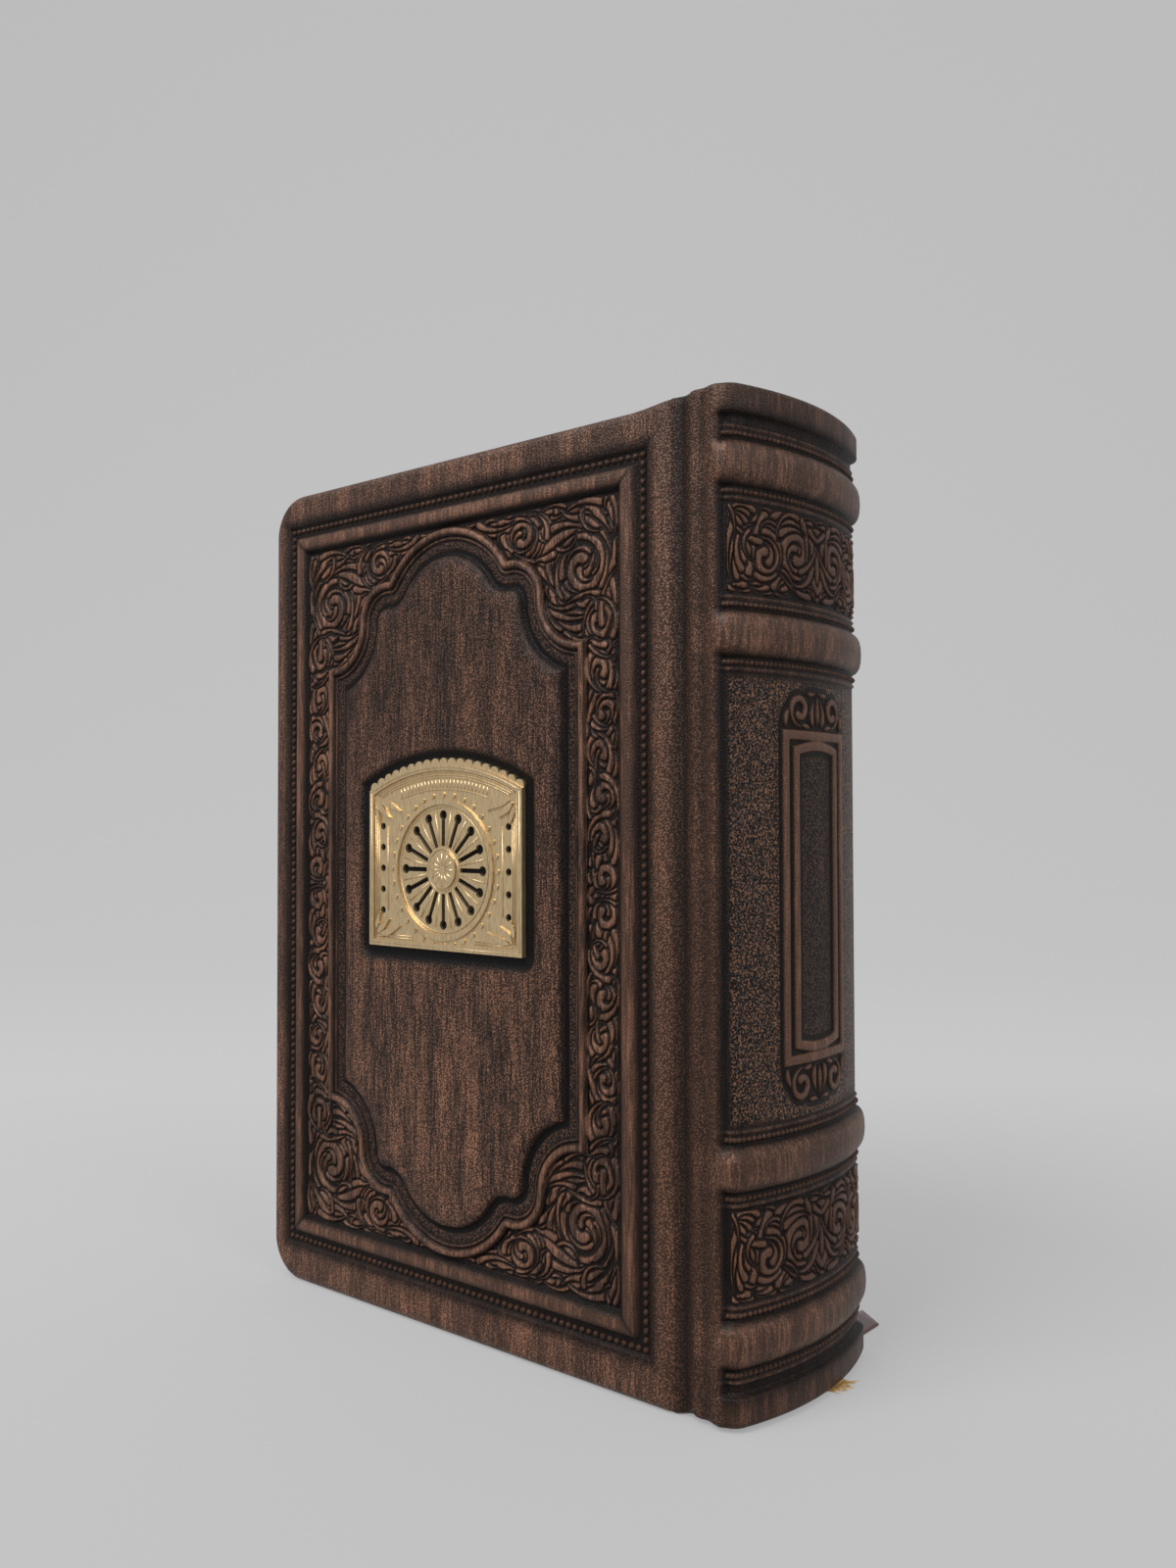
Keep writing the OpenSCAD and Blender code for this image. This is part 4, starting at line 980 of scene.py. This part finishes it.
def spine_relief(s, z, o):
    """Height, wear, stipple, plainness and calm of the spine's leather"""
    a = np.abs(s)
    half = BAND_W / 2
    band = np.min([np.abs(z - at) for at in BANDS], axis=0)
    foot = band - half
    end = np.minimum(z - TAIL_GAP, o.height - z)
    inside = smooth(o.corner_s + 0.7, o.corner_s - 1.3, a)
    near_band = smooth(half + 0.2, half - 1.8, band)
    cap = np.maximum(smooth(CAP_H + TAIL_GAP + 0.1, CAP_H + TAIL_GAP - 0.7, z),
                     smooth(o.height - CAP_H - 0.1, o.height - CAP_H + 0.7, z))
    x = side_x(s, o)

    ribs = np.maximum(0.24 * dome(foot - 0.85, 0.62), 0.36 * dome(foot - 2.0, 0.34))
    ribs = np.where((foot > 0.2) & (foot < 2.4), ribs, 0)
    over = np.where(band < half, np.interp(band, *BAND_RISE), -PANEL_D + ribs)
    over = over * (1 - cap) - 0.5 * cap
    round_end = -1.1 * (1 - np.sqrt(np.clip(1 - (1 - np.clip(end / 1.1, 0, 1)) ** 2, 0, 1)))
    bulge = 0.34 * near_band * np.exp(-((a - o.corner_s + 1.9) / 1.7) ** 2)
    h = over * inside - joint_drop(x) * (1 - inside) + round_end + bulge

    rib_wear = 0.35 * dome(foot - 2.0, 0.36) * ((foot > 1.5) & (foot < 2.5))
    beside_band = np.where(band < 6.2, 0.05 + rib_wear, 0.06)
    wear = np.where(band < 4.3, np.interp(band, *BAND_WEAR), beside_band)
    from_bands = np.minimum(z - BANDS[1], BANDS[2] - z) - 6.4
    rim = np.minimum(from_bands, o.corner_s - 1.6 - a)
    middle = from_bands > 0.1
    stipple = np.where(middle, smooth(0.1, 0.7, rim), 0)
    pebbled = 0.08 + (0.62 - 0.12 * smooth(14, 22, a)) * smooth(0.1, 1.8, rim)
    wear = np.where(middle, pebbled, wear)
    wear = wear * (1 - cap) + np.interp(end, *CAP_WEAR) * cap
    side_wear = (SPINE_SIDE_WEAR + 0.25 * near_band) * joint_wear(x)
    wear = wear * inside + (1 - inside) * side_wear
    dark_step = smooth(1.3, 0.1, np.abs(a - o.corner_s + 0.9)) * (1 - near_band) * (1 - cap)
    wear = wear * (1 - 0.80 * dark_step)
    calm = 0.75 * inside * (1 - stipple) + JOINT_CALM * (1 - inside)
    plain = np.clip((1 - inside) + 0.5 * np.maximum(cap, smooth(half + 0.2, half - 0.4, band)), 0, 1)
    return h, wear, stipple, plain, calm


def panel_field(o):
    """Leaf work of one half of a spine panel; the other half mirrors it"""
    e = Emboss(0, 24, -7.9, 7.9)
    uu, vv = np.meshgrid(e.u, e.v, indexing="ij")
    e.clear = np.minimum.reduce([o.corner_s - 2.0 - uu, 7.4 - vv, vv + 7.4])
    for path in drawn(PANEL):
        e.stroke(path)
    e.fill(np.random.default_rng(8), 0.50)
    return e


def label_outer(s, z):
    """Distance outwards from the outer edge of the label's frame, below 0 inside"""
    return np.maximum(np.abs(s) - LABEL_W / 2, np.abs(z - LABEL_Z) - LABEL_H / 2)


def label_relief(crest):
    """Gives the distance inwards from the edge of the label's raised work at girth s, height z"""
    def edge(s, z):
        a, up = np.abs(s), np.abs(z - LABEL_Z)
        outer = label_outer(s, z)
        d = LABEL_RAIL + LABEL_GAP
        w = LABEL_W / 2 - d
        bulge = LABEL_BULGE * np.cos(np.clip(a / w, 0, 1) * math.pi / 2)
        inner = np.maximum(a - w, up - (LABEL_H / 2 - d) - bulge)
        rails = [np.minimum(-x, x + LABEL_RAIL) for x in (outer, inner)]
        top = np.where(up > LABEL_H / 2, crest.sample(crest.edge, a, up - LABEL_H / 2), -2)
        return np.maximum.reduce(rails + [top])
    return edge


def spine_patch(name, o, z0, z1, s_reach, grid, relief, top=SCROLL_H, outside=None):
    """Part of the spine's embossed skin; outside() tells where its ground is stippled"""
    ss = np.linspace(-s_reach, s_reach, int(2 * s_reach / grid) + 1)
    zs = np.linspace(z0, z1, int((z1 - z0) / grid) + 1)
    obj = grid_sheet(name, ss, zs)
    co = coords(obj)
    s, z = co[:, 0], co[:, 1]
    edge = relief(s, z)
    p, _ = spine_point(s, z, -PANEL_D - 0.04 + leaf_height(edge, top), o)
    set_coords(obj, p)
    wear = np.interp(np.abs(s), *FIELD_TONE)
    stipple, bare = np.zeros_like(s), np.zeros_like(s)
    if outside is not None:
        bare = smooth(-0.75, -1.15, edge)
        stipple = bare * (outside(s, z) > 0)
        wear = 0.68 * (1 - bare) + bare * np.where(stipple > 0, 0.70, 0.22)
    paint(obj, wear=wear, sink=sink_of(edge) * (1 - bare), stipple=stipple, plain=1,
          calm=0.85 * (1 - bare))
    return obj


class BOOK_OT_spine(bpy.types.Operator):
    """Spine leather with raised bands, leaf fields and a bare label"""
    bl_idname = "book.spine"
    bl_label = "Spine leather"

    def execute(self, context):
        o = Outline()
        leather = leather_material()
        fine = size("emboss_grid") * 1
        cs = o.corner_s
        obj = grid_sheet("spine_skin", *self.grid_lines(o))
        co = coords(obj)
        s, z = co[:, 0], co[:, 1]
        h, wear, stipple, plain, calm = spine_relief(s, z, o)
        fields = [(BANDS[i] + BAND_CLEAR, BANDS[i + 1] - BAND_CLEAR) for i in (0, 2)]
        hidden = [(z0 + 0.3, z1 - 0.3, cs - 2.3) for z0, z1 in fields]
        hidden.append((LABEL_FROM + 0.8, LABEL_TO - 0.8, LABEL_REACH - 0.8))
        for z0, z1, reach in hidden:
            h = np.where((z > z0) & (z < z1) & (np.abs(s) < reach), -PANEL_D - 0.3, h)
        x = side_x(s, o)
        out = np.abs(s) > o.corner_s
        z = np.where(out, z - (o.height - head_line(x, o)) * smooth(o.height - 9, o.height, z), z)
        p, _ = spine_point(s, z, h, o)
        set_coords(obj, p)
        paint(obj, wear=wear, stipple=stipple, plain=plain, calm=calm)
        self.turn_in(obj, o)
        give(obj, "text_and_spine", leather)
        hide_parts("spine_leather")

        leaves = panel_field(o)
        for (z0, z1), name in zip(fields, ("tail_leaf_field", "head_leaf_field")):
            mid = (z0 + z1) / 2

            def relief(s, z):
                rim = np.minimum.reduce([z - z0, z1 - z, cs - 1.9 - np.abs(s)])
                return np.minimum(leaves.sample(leaves.edge, np.abs(s), z - mid), rim - 0.2)

            piece = spine_patch(name, o, z0, z1, cs - 1.9, fine * 0.8, relief)
            give(piece, "text_and_spine", leather)

        crest = Emboss(0, 11.5, -1.0, 8.5)
        for path in drawn(CREST_FILL + CREST):
            crest.stroke(path)
        label = spine_patch("spine_label", o, LABEL_FROM, LABEL_TO, LABEL_REACH, fine * 0.8,
                            label_relief(crest), LABEL_LIFT, label_outer)
        give(label, "text_and_spine", leather)
        return {"FINISHED"}

    @staticmethod
    def grid_lines(o):
        """Lines along the girth and the height, close where the leather bends"""
        cs = o.corner_s
        half = ((o.curve_s, cs - 1.2, 0.4), (cs - 1.2, cs + 0.6, 0.25), (cs + 0.6, o.end_s, 0.45))
        other = [(-b, -a, step) for a, b, step in half]
        tail, head, clear = TAIL_GAP, o.height, BAND_CLEAR
        runs = [(tail, tail + 1.4, 0.2), (tail + 1.4, 5.2, 0.8), (5.2, clear, 0.25),
                (clear, BANDS[0] - clear, 0.3), (BANDS[-1] + clear, head - 6.2, 0.3),
                (head - 6.2, head - 4.6, 0.25), (head - 4.6, head - 1.4, 0.8), (head - 1.4, head, 0.2)]
        runs += [(z - clear, z + clear, 0.26) for z in BANDS]
        runs += [(z0 + clear, z1 - clear, 0.9) for z0, z1 in zip(BANDS, BANDS[1:])]
        return lines(*other, (-o.curve_s, o.curve_s, 0.9), *half), lines(*runs)

    @staticmethod
    def turn_in(obj, o):
        """Carries the head and tail edges round and down inside the spine"""
        make_active(obj)
        co = coords(obj)
        z = co[:, 2] / MM
        for chosen, way in ((z < TAIL_GAP + 0.01, 1), (z > o.height - 0.01, -1)):
            for depth, along in ((1.3, 0.0), (2.9, 0.0), (2.95, 8.0)):
                bpy.ops.object.mode_set(mode="EDIT")
                bpy.ops.mesh.select_mode(type="VERT")
                bpy.ops.mesh.select_all(action="DESELECT")
                bpy.ops.object.mode_set(mode="OBJECT")
                flags = np.zeros(len(obj.data.vertices), bool)
                flags[np.nonzero(chosen)[0]] = True
                obj.data.vertices.foreach_set("select", flags)
                bpy.ops.object.mode_set(mode="EDIT")
                bpy.ops.mesh.extrude_region_move()
                bpy.ops.object.mode_set(mode="OBJECT")
                picked = np.zeros(len(obj.data.vertices), bool)
                obj.data.vertices.foreach_get("select", picked)
                c = coords(obj)
                c[picked] = inward(c[picked] / MM, depth, along * way, o) * MM
                obj.data.vertices.foreach_set("co", c.ravel())
                obj.data.update()
                chosen = picked


def inward(points, depth, rise, o):
    """Points at the spine's end, moved in by a depth under the outline and up by a rise"""
    x, y, z = points[:, 0], points[:, 1], points[:, 2]
    ay = np.abs(y)
    ang = np.arctan2(y, x - o.spine_cx)
    on_curve = np.abs(ang) <= o.curve_a + 1e-4
    nx, ny = np.cos(ang), np.sin(ang)
    ca = np.arctan2(ay - o.corner_y, x - o.corner_x)
    on_corner = ~on_curve & (x > o.corner_x)
    nx = np.where(on_curve, nx, np.where(on_corner, np.cos(ca), 0))
    ny = np.where(on_curve, ny, np.sign(y) * np.where(on_corner, np.sin(ca), 1))
    level = np.where(on_curve, np.hypot(x - o.spine_cx, y) - SPINE_R,
                     np.where(on_corner, np.hypot(x - o.corner_x, ay - o.corner_y) - SPINE_CORNER_R,
                              ay - o.half_t))
    move = np.minimum(-(depth + level + 1.2), 0)
    move = np.maximum(move, -(SPINE_CORNER_R + level - 0.3))
    side = ~on_curve & ~on_corner
    move = np.where(side, np.maximum(move, -1.6), move)
    return np.column_stack([x + nx * move, y + ny * move, z + rise])


class BOOK_OT_joint_strips(bpy.types.Operator):
    """Leather that bends in the groove between each cover and the spine"""
    bl_idname = "book.joint_strips"
    bl_label = "Joint leather"

    def execute(self, context):
        o = Outline()
        leather = leather_material()
        for side in (-1, 1):
            name = "front" if side < 0 else "back"
            xs = np.linspace(JOINT_FROM, JOINT_TO, 17)
            obj = grid_sheet(name + "_joint_strip", xs, lines((0, 3, 0.3), (3, 97, 1.5), (97, 100, 0.3)))
            co = coords(obj)
            x, t = co[:, 0], co[:, 1] / 100
            low, high = tail_line(x), head_line(x, o)
            z = low + (high - low) * t
            h = end_round(z, low, high) - joint_drop(x)
            lap = smooth(JOINT_FROM + 0.35, JOINT_FROM, x) + smooth(JOINT_TO - 0.35, JOINT_TO, x)
            set_coords(obj, np.column_stack([x, side * (o.half_t + h - 0.02 * lap), z]))
            paint(obj, wear=SPINE_SIDE_WEAR * joint_wear(x), plain=1, calm=JOINT_CALM)
            flip_if(obj, side > 0)
            self.thicken(obj, 1.0)
            give(obj, None, leather)
            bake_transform(obj)
        return {"FINISHED"}

    @staticmethod
    def thicken(obj, thickness):
        make_active(obj)
        shell = obj.modifiers.new("thickness", "SOLIDIFY")
        shell.thickness = thickness * MM
        shell.offset = -1
        bpy.ops.object.modifier_apply(modifier=shell.name)


# Plate, pages and ribbons

def plate_lines():
    """Fine raised lines of the plate from its middle: (points, half width, height), in mm"""
    r = ((PLATE_W / 2) ** 2 + PLATE_RISE ** 2) / (2 * PLATE_RISE)
    top = PLATE_H / 2 + PLATE_RISE
    sweep = math.asin(PLATE_W / 2 / r)

    def arc(cx, cy, radius, a0, a1, n):
        a = np.radians(np.linspace(a0, a1, n + 1))
        return np.column_stack([cx + radius * np.sin(a), cy + radius * np.cos(a)])

    out = []
    for inset, reach, lift in ((0.6, 0.97, PLATE_STEP), (1.6, 0.93, 0), (2.1, 0.91, 0),
                               (2.6, 0.89, 0), (4.9, 0.62, 0)):
        a = math.degrees(sweep) * reach
        out.append((arc(0, top - r, r - inset, -a, a, 48), 0.17, lift + 0.24))
    flutes = 24
    for i in range(flutes + 1):
        a = sweep * 0.60 * (2 * i / flutes - 1)
        d = np.array([math.sin(a), math.cos(a)])
        flute = np.array([d * (r - 4.6), d * (r - 3.0)]) + (0, top - r)
        out.append((flute, 0.24, 0.24))
    low, high, wide = -PLATE_H / 2, PLATE_H / 2, PLATE_W / 2
    for s in (-1, 1):
        for x, z0, z1, lift in ((wide - 0.6, low + 0.6, high - 0.5, PLATE_STEP),
                                (wide - 1.6, low + 1.6, high - 1.2, 0),
                                (wide - 2.1, low + 2.1, high - 3.4, 0),
                                (wide - 2.6, -9.6, 9.6, 0), (15.8, -8.4, 8.4, 0)):
            out.append((np.array([(s * x, z0), (s * x, z1)]), 0.16, lift + 0.24))
        for z in (low + 1.7, low + 2.2):
            out.append((np.array([(s * 8.6, z), (s * (wide - 2.4), z)]), 0.16, 0.24))
    out.append((np.array([(0.6 - wide, low + 0.6), (wide - 0.6, low + 0.6)]), 0.16, PLATE_STEP + 0.24))
    for radius in (BOSS_R + 0.45, ROSETTE_R - 0.1):
        out.append((arc(0, 0, radius, 0, 360, 72), 0.14, 0.22))
    petals = 12
    for i in range(petals):
        a = 2 * math.pi * i / petals
        d = np.array([math.sin(a), math.cos(a)])
        out.append((np.array([d * 0.9, d * 1.9, d * (BOSS_R - 0.35)]), 0.34, PLATE_STEP + 0.22))
    spokes = 16
    for i in range(spokes):
        a = 2 * math.pi * (i + 0.5) / spokes
        d = np.array([math.cos(a), math.sin(a)])
        out.append((np.array([d * (BOSS_R + 1.2), d * (ROSETTE_R - 0.9)]), 0.20, 0.24))
    return out


def rib_lines(name, lines_mm, y_face):
    """Low rounded ribs along lines on the plate's face, joined into one piece"""
    section = ((-1, -0.1), (-0.6, 0.72), (0, 1), (0.6, 0.72), (1, -0.1))
    verts, faces = [], []
    for points, half, height in lines_mm:
        p = np.array(points, float)
        t = np.gradient(p, axis=0)
        t /= np.linalg.norm(t, axis=1)[:, None]
        side = np.column_stack([t[:, 1], -t[:, 0]])
        closed = np.allclose(p[0], p[-1])
        base, last, m = len(verts), len(p) - 1, len(section)
        for i, (q, w) in enumerate(zip(p, side)):
            k = 1.0 if closed or 0 < i < last else 0.8
            for across, up in section:
                at = q + w * across * half * k
                verts.append((at[0] + ORN_X, y_face - up * height * k, at[1] + PLATE_Z))
        for i in range(last):
            for j in range(m - 1):
                a = base + i * m + j
                faces.append((a, a + m, a + m + 1, a + 1))
        if not closed:
            faces.append(tuple(base + j for j in range(m)))
            faces.append(tuple(base + last * m + j for j in reversed(range(m))))
    return mesh_piece(name, verts, faces)


class BOOK_OT_plate(bpy.types.Operator):
    """Metal plate of the front cover with its raised work"""
    bl_idname = "book.plate"
    bl_label = "Plate"

    def execute(self, context):
        o = Outline()
        brass = brass_material()
        set_material(bpy.data.objects["front_plate"], brass)
        ribs = rib_lines("plate_ribs", plate_lines(), -(o.half_t + PLATE_FACE))
        give(ribs, "front_cover", brass)
        return {"FINISHED"}


class BOOK_OT_papers(bpy.types.Operator):
    """Finishes of boards, papers, page block and endbands"""
    bl_idname = "book.papers"
    bl_label = "Boards, papers and pages"

    def execute(self, context):
        pages = self.page_material()
        endband = self.endband_material()
        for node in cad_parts:
            obj = bpy.data.objects.get(node)
            if obj is None or obj.type != "MESH":
                continue
            if node == "text_block":
                set_material(obj, pages)
            elif node in ("headband", "tailband"):
                set_material(obj, endband)
            for key, stock in NODE_STOCKS.items():
                if key in node:
                    set_material(obj, stock_material(*stock))
        return {"FINISHED"}

    @staticmethod
    def page_material():
        n = Nodes("page_edges")
        leaf = n.noise(0.16, (0.002, 1, 0.002), 2, 0.6)
        gather = n.noise(0.8, (0.002, 1, 0.002), 2, 0.5)
        line = n.ramp(n.both(leaf, 0.6, gather, 0.4), 0.38, 0.62)
        n.link(n.mix(line, rgba((0.52, 0.43, 0.29)), rgba((0.80, 0.72, 0.55))), "Base Color")
        n.fixed(0.8, "Roughness")
        n.link(n.bump(leaf, 0.5, 0.08), "Normal")
        return n.mat

    @staticmethod
    def endband_material():
        n = Nodes("sewn_endband")
        wave = n.add("ShaderNodeTexWave", {"Vector": n.scaled((1 / MM,) * 3), "Scale": 0.32},
                     bands_direction="Y").outputs["Fac"]
        n.link(n.mix(n.ramp(wave, 0.45, 0.55), rgba((0.14, 0.03, 0.025)), rgba((0.62, 0.50, 0.28))),
               "Base Color")
        n.fixed(0.6, "Roughness")
        n.link(n.bump(wave, 0.6, 0.2), "Normal")
        return n.mat


def ribbon_route(x, y, on_table):
    """Route of a ribbon in mm: down between the pages, round at the tail and over the table"""
    r = RIBBON_BEND
    down = [(x, y, z) for z in np.linspace(RIBBON_TOP, RIBBON_Z + r, 16)]
    bend = [(x, y + r * (1 - math.cos(a)), RIBBON_Z + r * (1 - math.sin(a)))
            for a in np.radians([15, 30, 45, 60, 75, 90])]
    return down + bend + on_table


def ribbon_mesh(name, route, slant=0.0):
    """A flat ribbon along a route, its width square to the route; slant cuts its end askew"""
    pts = np.array(route, float)
    tang = np.gradient(pts, axis=0)
    tang /= np.linalg.norm(tang, axis=1)[:, None]
    side = np.array([1.0, 0.0, 0.0])
    sides = []
    for t in tang:
        side = side - t * (side @ t)
        side /= np.linalg.norm(side)
        sides.append(side)
    ups = np.cross(sides, tang)
    across = np.linspace(-0.5, 0.5, 9)
    n, m = len(pts), len(across)
    ring = 2 * m
    verts, faces = [], []
    for k in range(n):
        for face in (1, -1):
            for a in across:
                cut = -slant * (a + 0.5) * max(0.0, (k - n + 4) / 3)
                flat = pts[k] + sides[k] * a * RIBBON_W + tang[k] * cut
                verts.append(flat + ups[k] * face * RIBBON_T / 2)
    for k in range(n - 1):
        a, b = k * ring, (k + 1) * ring
        for j in range(m - 1):
            faces.append((a + j, a + j + 1, b + j + 1, b + j))
            faces.append((a + m + j + 1, a + m + j, b + m + j, b + m + j + 1))
        faces.append((a + m, a, b, b + m))
        faces.append((a + m - 1, a + 2 * m - 1, b + 2 * m - 1, b + m - 1))
    end = list(range(m)) + [m + j for j in reversed(range(m))]
    faces.append(tuple(reversed(end)))
    faces.append(tuple(j + (n - 1) * ring for j in end))
    obj = mesh_piece(name, verts, faces)
    turn_outwards(obj)
    return obj


def frayed_threads(name, end, count):
    """Loose threads at a ribbon's cut end, which lies along X"""
    rng = np.random.default_rng(3)
    verts, faces = [], []
    for i in range(count):
        y = end[1] + RIBBON_W * (0.96 * i / (count - 1) - 0.48)
        reach = rng.uniform(1.6, 3.2)
        bend, lift = rng.uniform(-0.9, 0.9), rng.uniform(0.0, 0.9)
        half = rng.uniform(0.07, 0.11)
        base, steps = len(verts), 6
        for f in np.linspace(0, 1, steps + 1):
            r = half * (1 - 0.5 * f)
            at = (end[0] - 0.4 + (reach + 0.4) * f, y + bend * f * f, end[2] + lift * f * f)
            for a in np.radians((45, 135, 225, 315)):
                verts.append((at[0], at[1] + r * math.cos(a), at[2] + r * math.sin(a)))
        for k in range(steps):
            for j in range(4):
                a, b = base + 4 * k + j, base + 4 * k + (j + 1) % 4
                faces.append((a, b, b + 4, a + 4))
        faces.append(tuple(base + j for j in reversed(range(4))))
        faces.append(tuple(base + 4 * steps + j for j in range(4)))
    return mesh_piece(name, verts, faces)


class BOOK_OT_ribbons(bpy.types.Operator):
    """Two ribbon markers that hang out at the tail and lie on the table"""
    bl_idname = "book.ribbons"
    bl_label = "Ribbon markers"

    def execute(self, context):
        maroon_mat = self.ribbon_material("ribbon_maroon", (0.085, 0.018, 0.016), (0.05, 0.012, 0.012))
        gold_mat = self.ribbon_material("ribbon_gold", (0.62, 0.36, 0.05), (0.45, 0.25, 0.04))
        maroon = ribbon_route(MAROON_X, MAROON_Y, [
            (MAROON_X, y, RIBBON_Z) for y in np.linspace(MAROON_Y + 4, MAROON_TIP, 12)])
        obj = ribbon_mesh("maroon_ribbon", maroon, 4.4)
        self.declare(obj, maroon, maroon_mat, "ribbon_maroon")
        r, y0 = GOLD_TURN_R, GOLD_TURN_Y
        out = [(GOLD_X, y, RIBBON_Z) for y in (y0 - 2, y0 - 1, y0)]
        turn = [(GOLD_X + r - r * math.cos(a), y0 + r * math.sin(a), RIBBON_Z)
                for a in np.radians(np.linspace(9, 90, 10))]
        along = [(x, y0 + r, RIBBON_Z) for x in np.linspace(GOLD_X + r + 2, GOLD_TIP, 8)]
        gold = ribbon_route(GOLD_X, GOLD_Y, out + turn + along)
        obj = ribbon_mesh("gold_ribbon", gold)
        give(frayed_threads("gold_fray", gold[-1], 34), "text_and_spine", gold_mat)
        self.declare(obj, gold, gold_mat, "ribbon_gold")
        return {"FINISHED"}

    @staticmethod
    def declare(obj, route, material, node):
        give(obj, "text_and_spine", material)
        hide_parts(node)

    @staticmethod
    def ribbon_material(name, colour, second):
        n = Nodes(name)
        weave = n.noise(0.30, (1, 1, 1), 2, 0.5)
        n.link(n.mix(n.ramp(weave, 0.4, 0.6), rgba(colour), rgba(second)), "Base Color")
        n.fixed(0.45, "Roughness")
        n.fixed(0.3, "Sheen Weight")
        n.link(n.bump(weave, 0.4, 0.05), "Normal")
        return n.mat


# Stage

class BOOK_OT_stage(bpy.types.Operator):
    """Camera, seamless pale floor and soft studio light"""
    bl_idname = "book.stage"
    bl_label = "Stage"

    def execute(self, context):
        self.camera()
        self.floor()
        self.lights()
        context.scene.view_settings.view_transform = "Standard"
        return {"FINISHED"}

    @staticmethod
    def camera():
        deselect()
        bpy.ops.object.camera_add(location=CAMERA_PLACE)
        cam = bpy.context.object
        cam.name = "photo_camera"
        fwd = Vector(CAMERA_AIM).normalized()
        right = fwd.cross(Vector((0, 0, 1))).normalized()
        up = right.cross(fwd)
        roll = math.radians(CAMERA_ROLL)
        r2 = right * math.cos(roll) + up * math.sin(roll)
        u2 = -right * math.sin(roll) + up * math.cos(roll)
        rot = Matrix((r2, u2, -fwd)).transposed()
        cam.rotation_euler = rot.to_euler()
        cam.data.sensor_fit = "AUTO"
        cam.data.sensor_width = SENSOR_WIDTH
        cam.data.lens = FOCAL_SHARE * SENSOR_WIDTH
        cam.data.clip_start = 0.005
        bpy.context.scene.camera = cam

    @staticmethod
    def floor():
        """A sheet that lies flat under the book and sweeps up behind it"""
        stage = bpy.context.scene.stage_look
        n = Nodes("seamless")
        n.fixed(rgba(stage.floor), "Base Color")
        n.fixed(0.8, "Roughness")
        n.fixed(0.1, "Specular IOR Level")
        n.fixed((1.0, 1.0, 1.005, 1), "Emission Color")
        turn = math.radians(FLOOR_TURN)
        back = n.add("ShaderNodeVectorMath", {0: n.coord, 1: (-math.sin(turn), math.cos(turn), 0)},
                     operation="DOT_PRODUCT").outputs["Value"]
        # Painted light: the sheet's glow falls to 74% towards the front, a painted fall-off of the
        # studio light
        n.link(n.ramp(back, -0.14, 0.22, stage.glow * 0.74, stage.glow), "Emission Strength")
        deselect()
        bpy.ops.mesh.primitive_grid_add(x_subdivisions=4, y_subdivisions=60, size=1)
        floor = bpy.context.object
        floor.name = "floor"
        co = coords(floor)
        along = (co[:, 1] + 0.5) * FLOOR_LONG - FLOOR_FRONT
        a = np.clip((along - SWEEP_FROM) / SWEEP_R, 0, math.pi / 2)
        rest = np.maximum(along - SWEEP_FROM - SWEEP_R * math.pi / 2, 0)
        x = co[:, 0] * FLOOR_WIDE
        y = np.minimum(along, SWEEP_FROM) + SWEEP_R * np.sin(a)
        z = SWEEP_R * (1 - np.cos(a)) + rest
        pts = np.column_stack([x * math.cos(turn) - y * math.sin(turn),
                               x * math.sin(turn) + y * math.cos(turn), z])
        floor.data.vertices.foreach_set("co", pts.ravel())
        floor.data.update()
        set_material(floor, n.mat)
        bpy.ops.object.shade_smooth()

    @staticmethod
    def lights():
        stage = bpy.context.scene.stage_look
        world = bpy.data.worlds.new("studio")
        world.use_nodes = True
        bpy.context.scene.world = world
        back = world.node_tree.nodes["Background"]
        back.inputs["Color"].default_value = (0.95, 0.95, 0.96, 1)
        back.inputs["Strength"].default_value = 0.60

        def box(name, place, wide, power):
            deselect()
            bpy.ops.object.light_add(type="AREA", location=place)
            light = bpy.context.object
            light.name = name
            light.data.size = wide
            light.data.energy = power
            light.visible_camera = False
            d = Vector(LIGHT_AIM) - Vector(place)
            light.rotation_euler = d.to_track_quat("-Z", "Y").to_euler()

        box("key_box", (-0.06, -0.62, 0.80), 0.55, stage.key_power)
        box("side_box", (0.75, -0.10, 0.55), 0.5, stage.key_power * 0.30)


class BOOK_PT_panel(bpy.types.Panel):
    """Steps that build the book"""
    bl_idname = "BOOK_PT_panel"
    bl_label = "Leather book"
    bl_space_type = "VIEW_3D"
    bl_region_type = "UI"
    bl_category = "Book"

    def draw(self, context):
        for op in OPERATORS:
            self.layout.operator(op.bl_idname)
        for group in ("book_sizes", "leather_look", "stage_look"):
            props = getattr(context.scene, group)
            box = self.layout.box()
            for key in props.__annotations__:
                box.prop(props, key)


OPERATORS = (BOOK_OT_stage, BOOK_OT_ribbons, BOOK_OT_covers, BOOK_OT_spine, BOOK_OT_bead_rows,
             BOOK_OT_joint_strips, BOOK_OT_plate, BOOK_OT_papers)
CLASSES = (BookSizes, LeatherLook, StageLook) + OPERATORS + (BOOK_PT_panel,)


def register():
    for cls in CLASSES:
        bpy.utils.register_class(cls)
    bpy.types.Scene.book_sizes = bpy.props.PointerProperty(type=BookSizes)
    bpy.types.Scene.leather_look = bpy.props.PointerProperty(type=LeatherLook)
    bpy.types.Scene.stage_look = bpy.props.PointerProperty(type=StageLook)


def unregister():
    for key in ("book_sizes", "leather_look", "stage_look"):
        delattr(bpy.types.Scene, key)
    for cls in reversed(CLASSES):
        bpy.utils.unregister_class(cls)


def main():
    register()
    bpy.ops.book.stage()
    bpy.ops.book.ribbons()
    bpy.ops.book.covers()
    bpy.ops.book.spine()
    bpy.ops.book.bead_rows()
    bpy.ops.book.joint_strips()
    bpy.ops.book.plate()
    bpy.ops.book.papers()


if __name__ == "__main__":
    main()
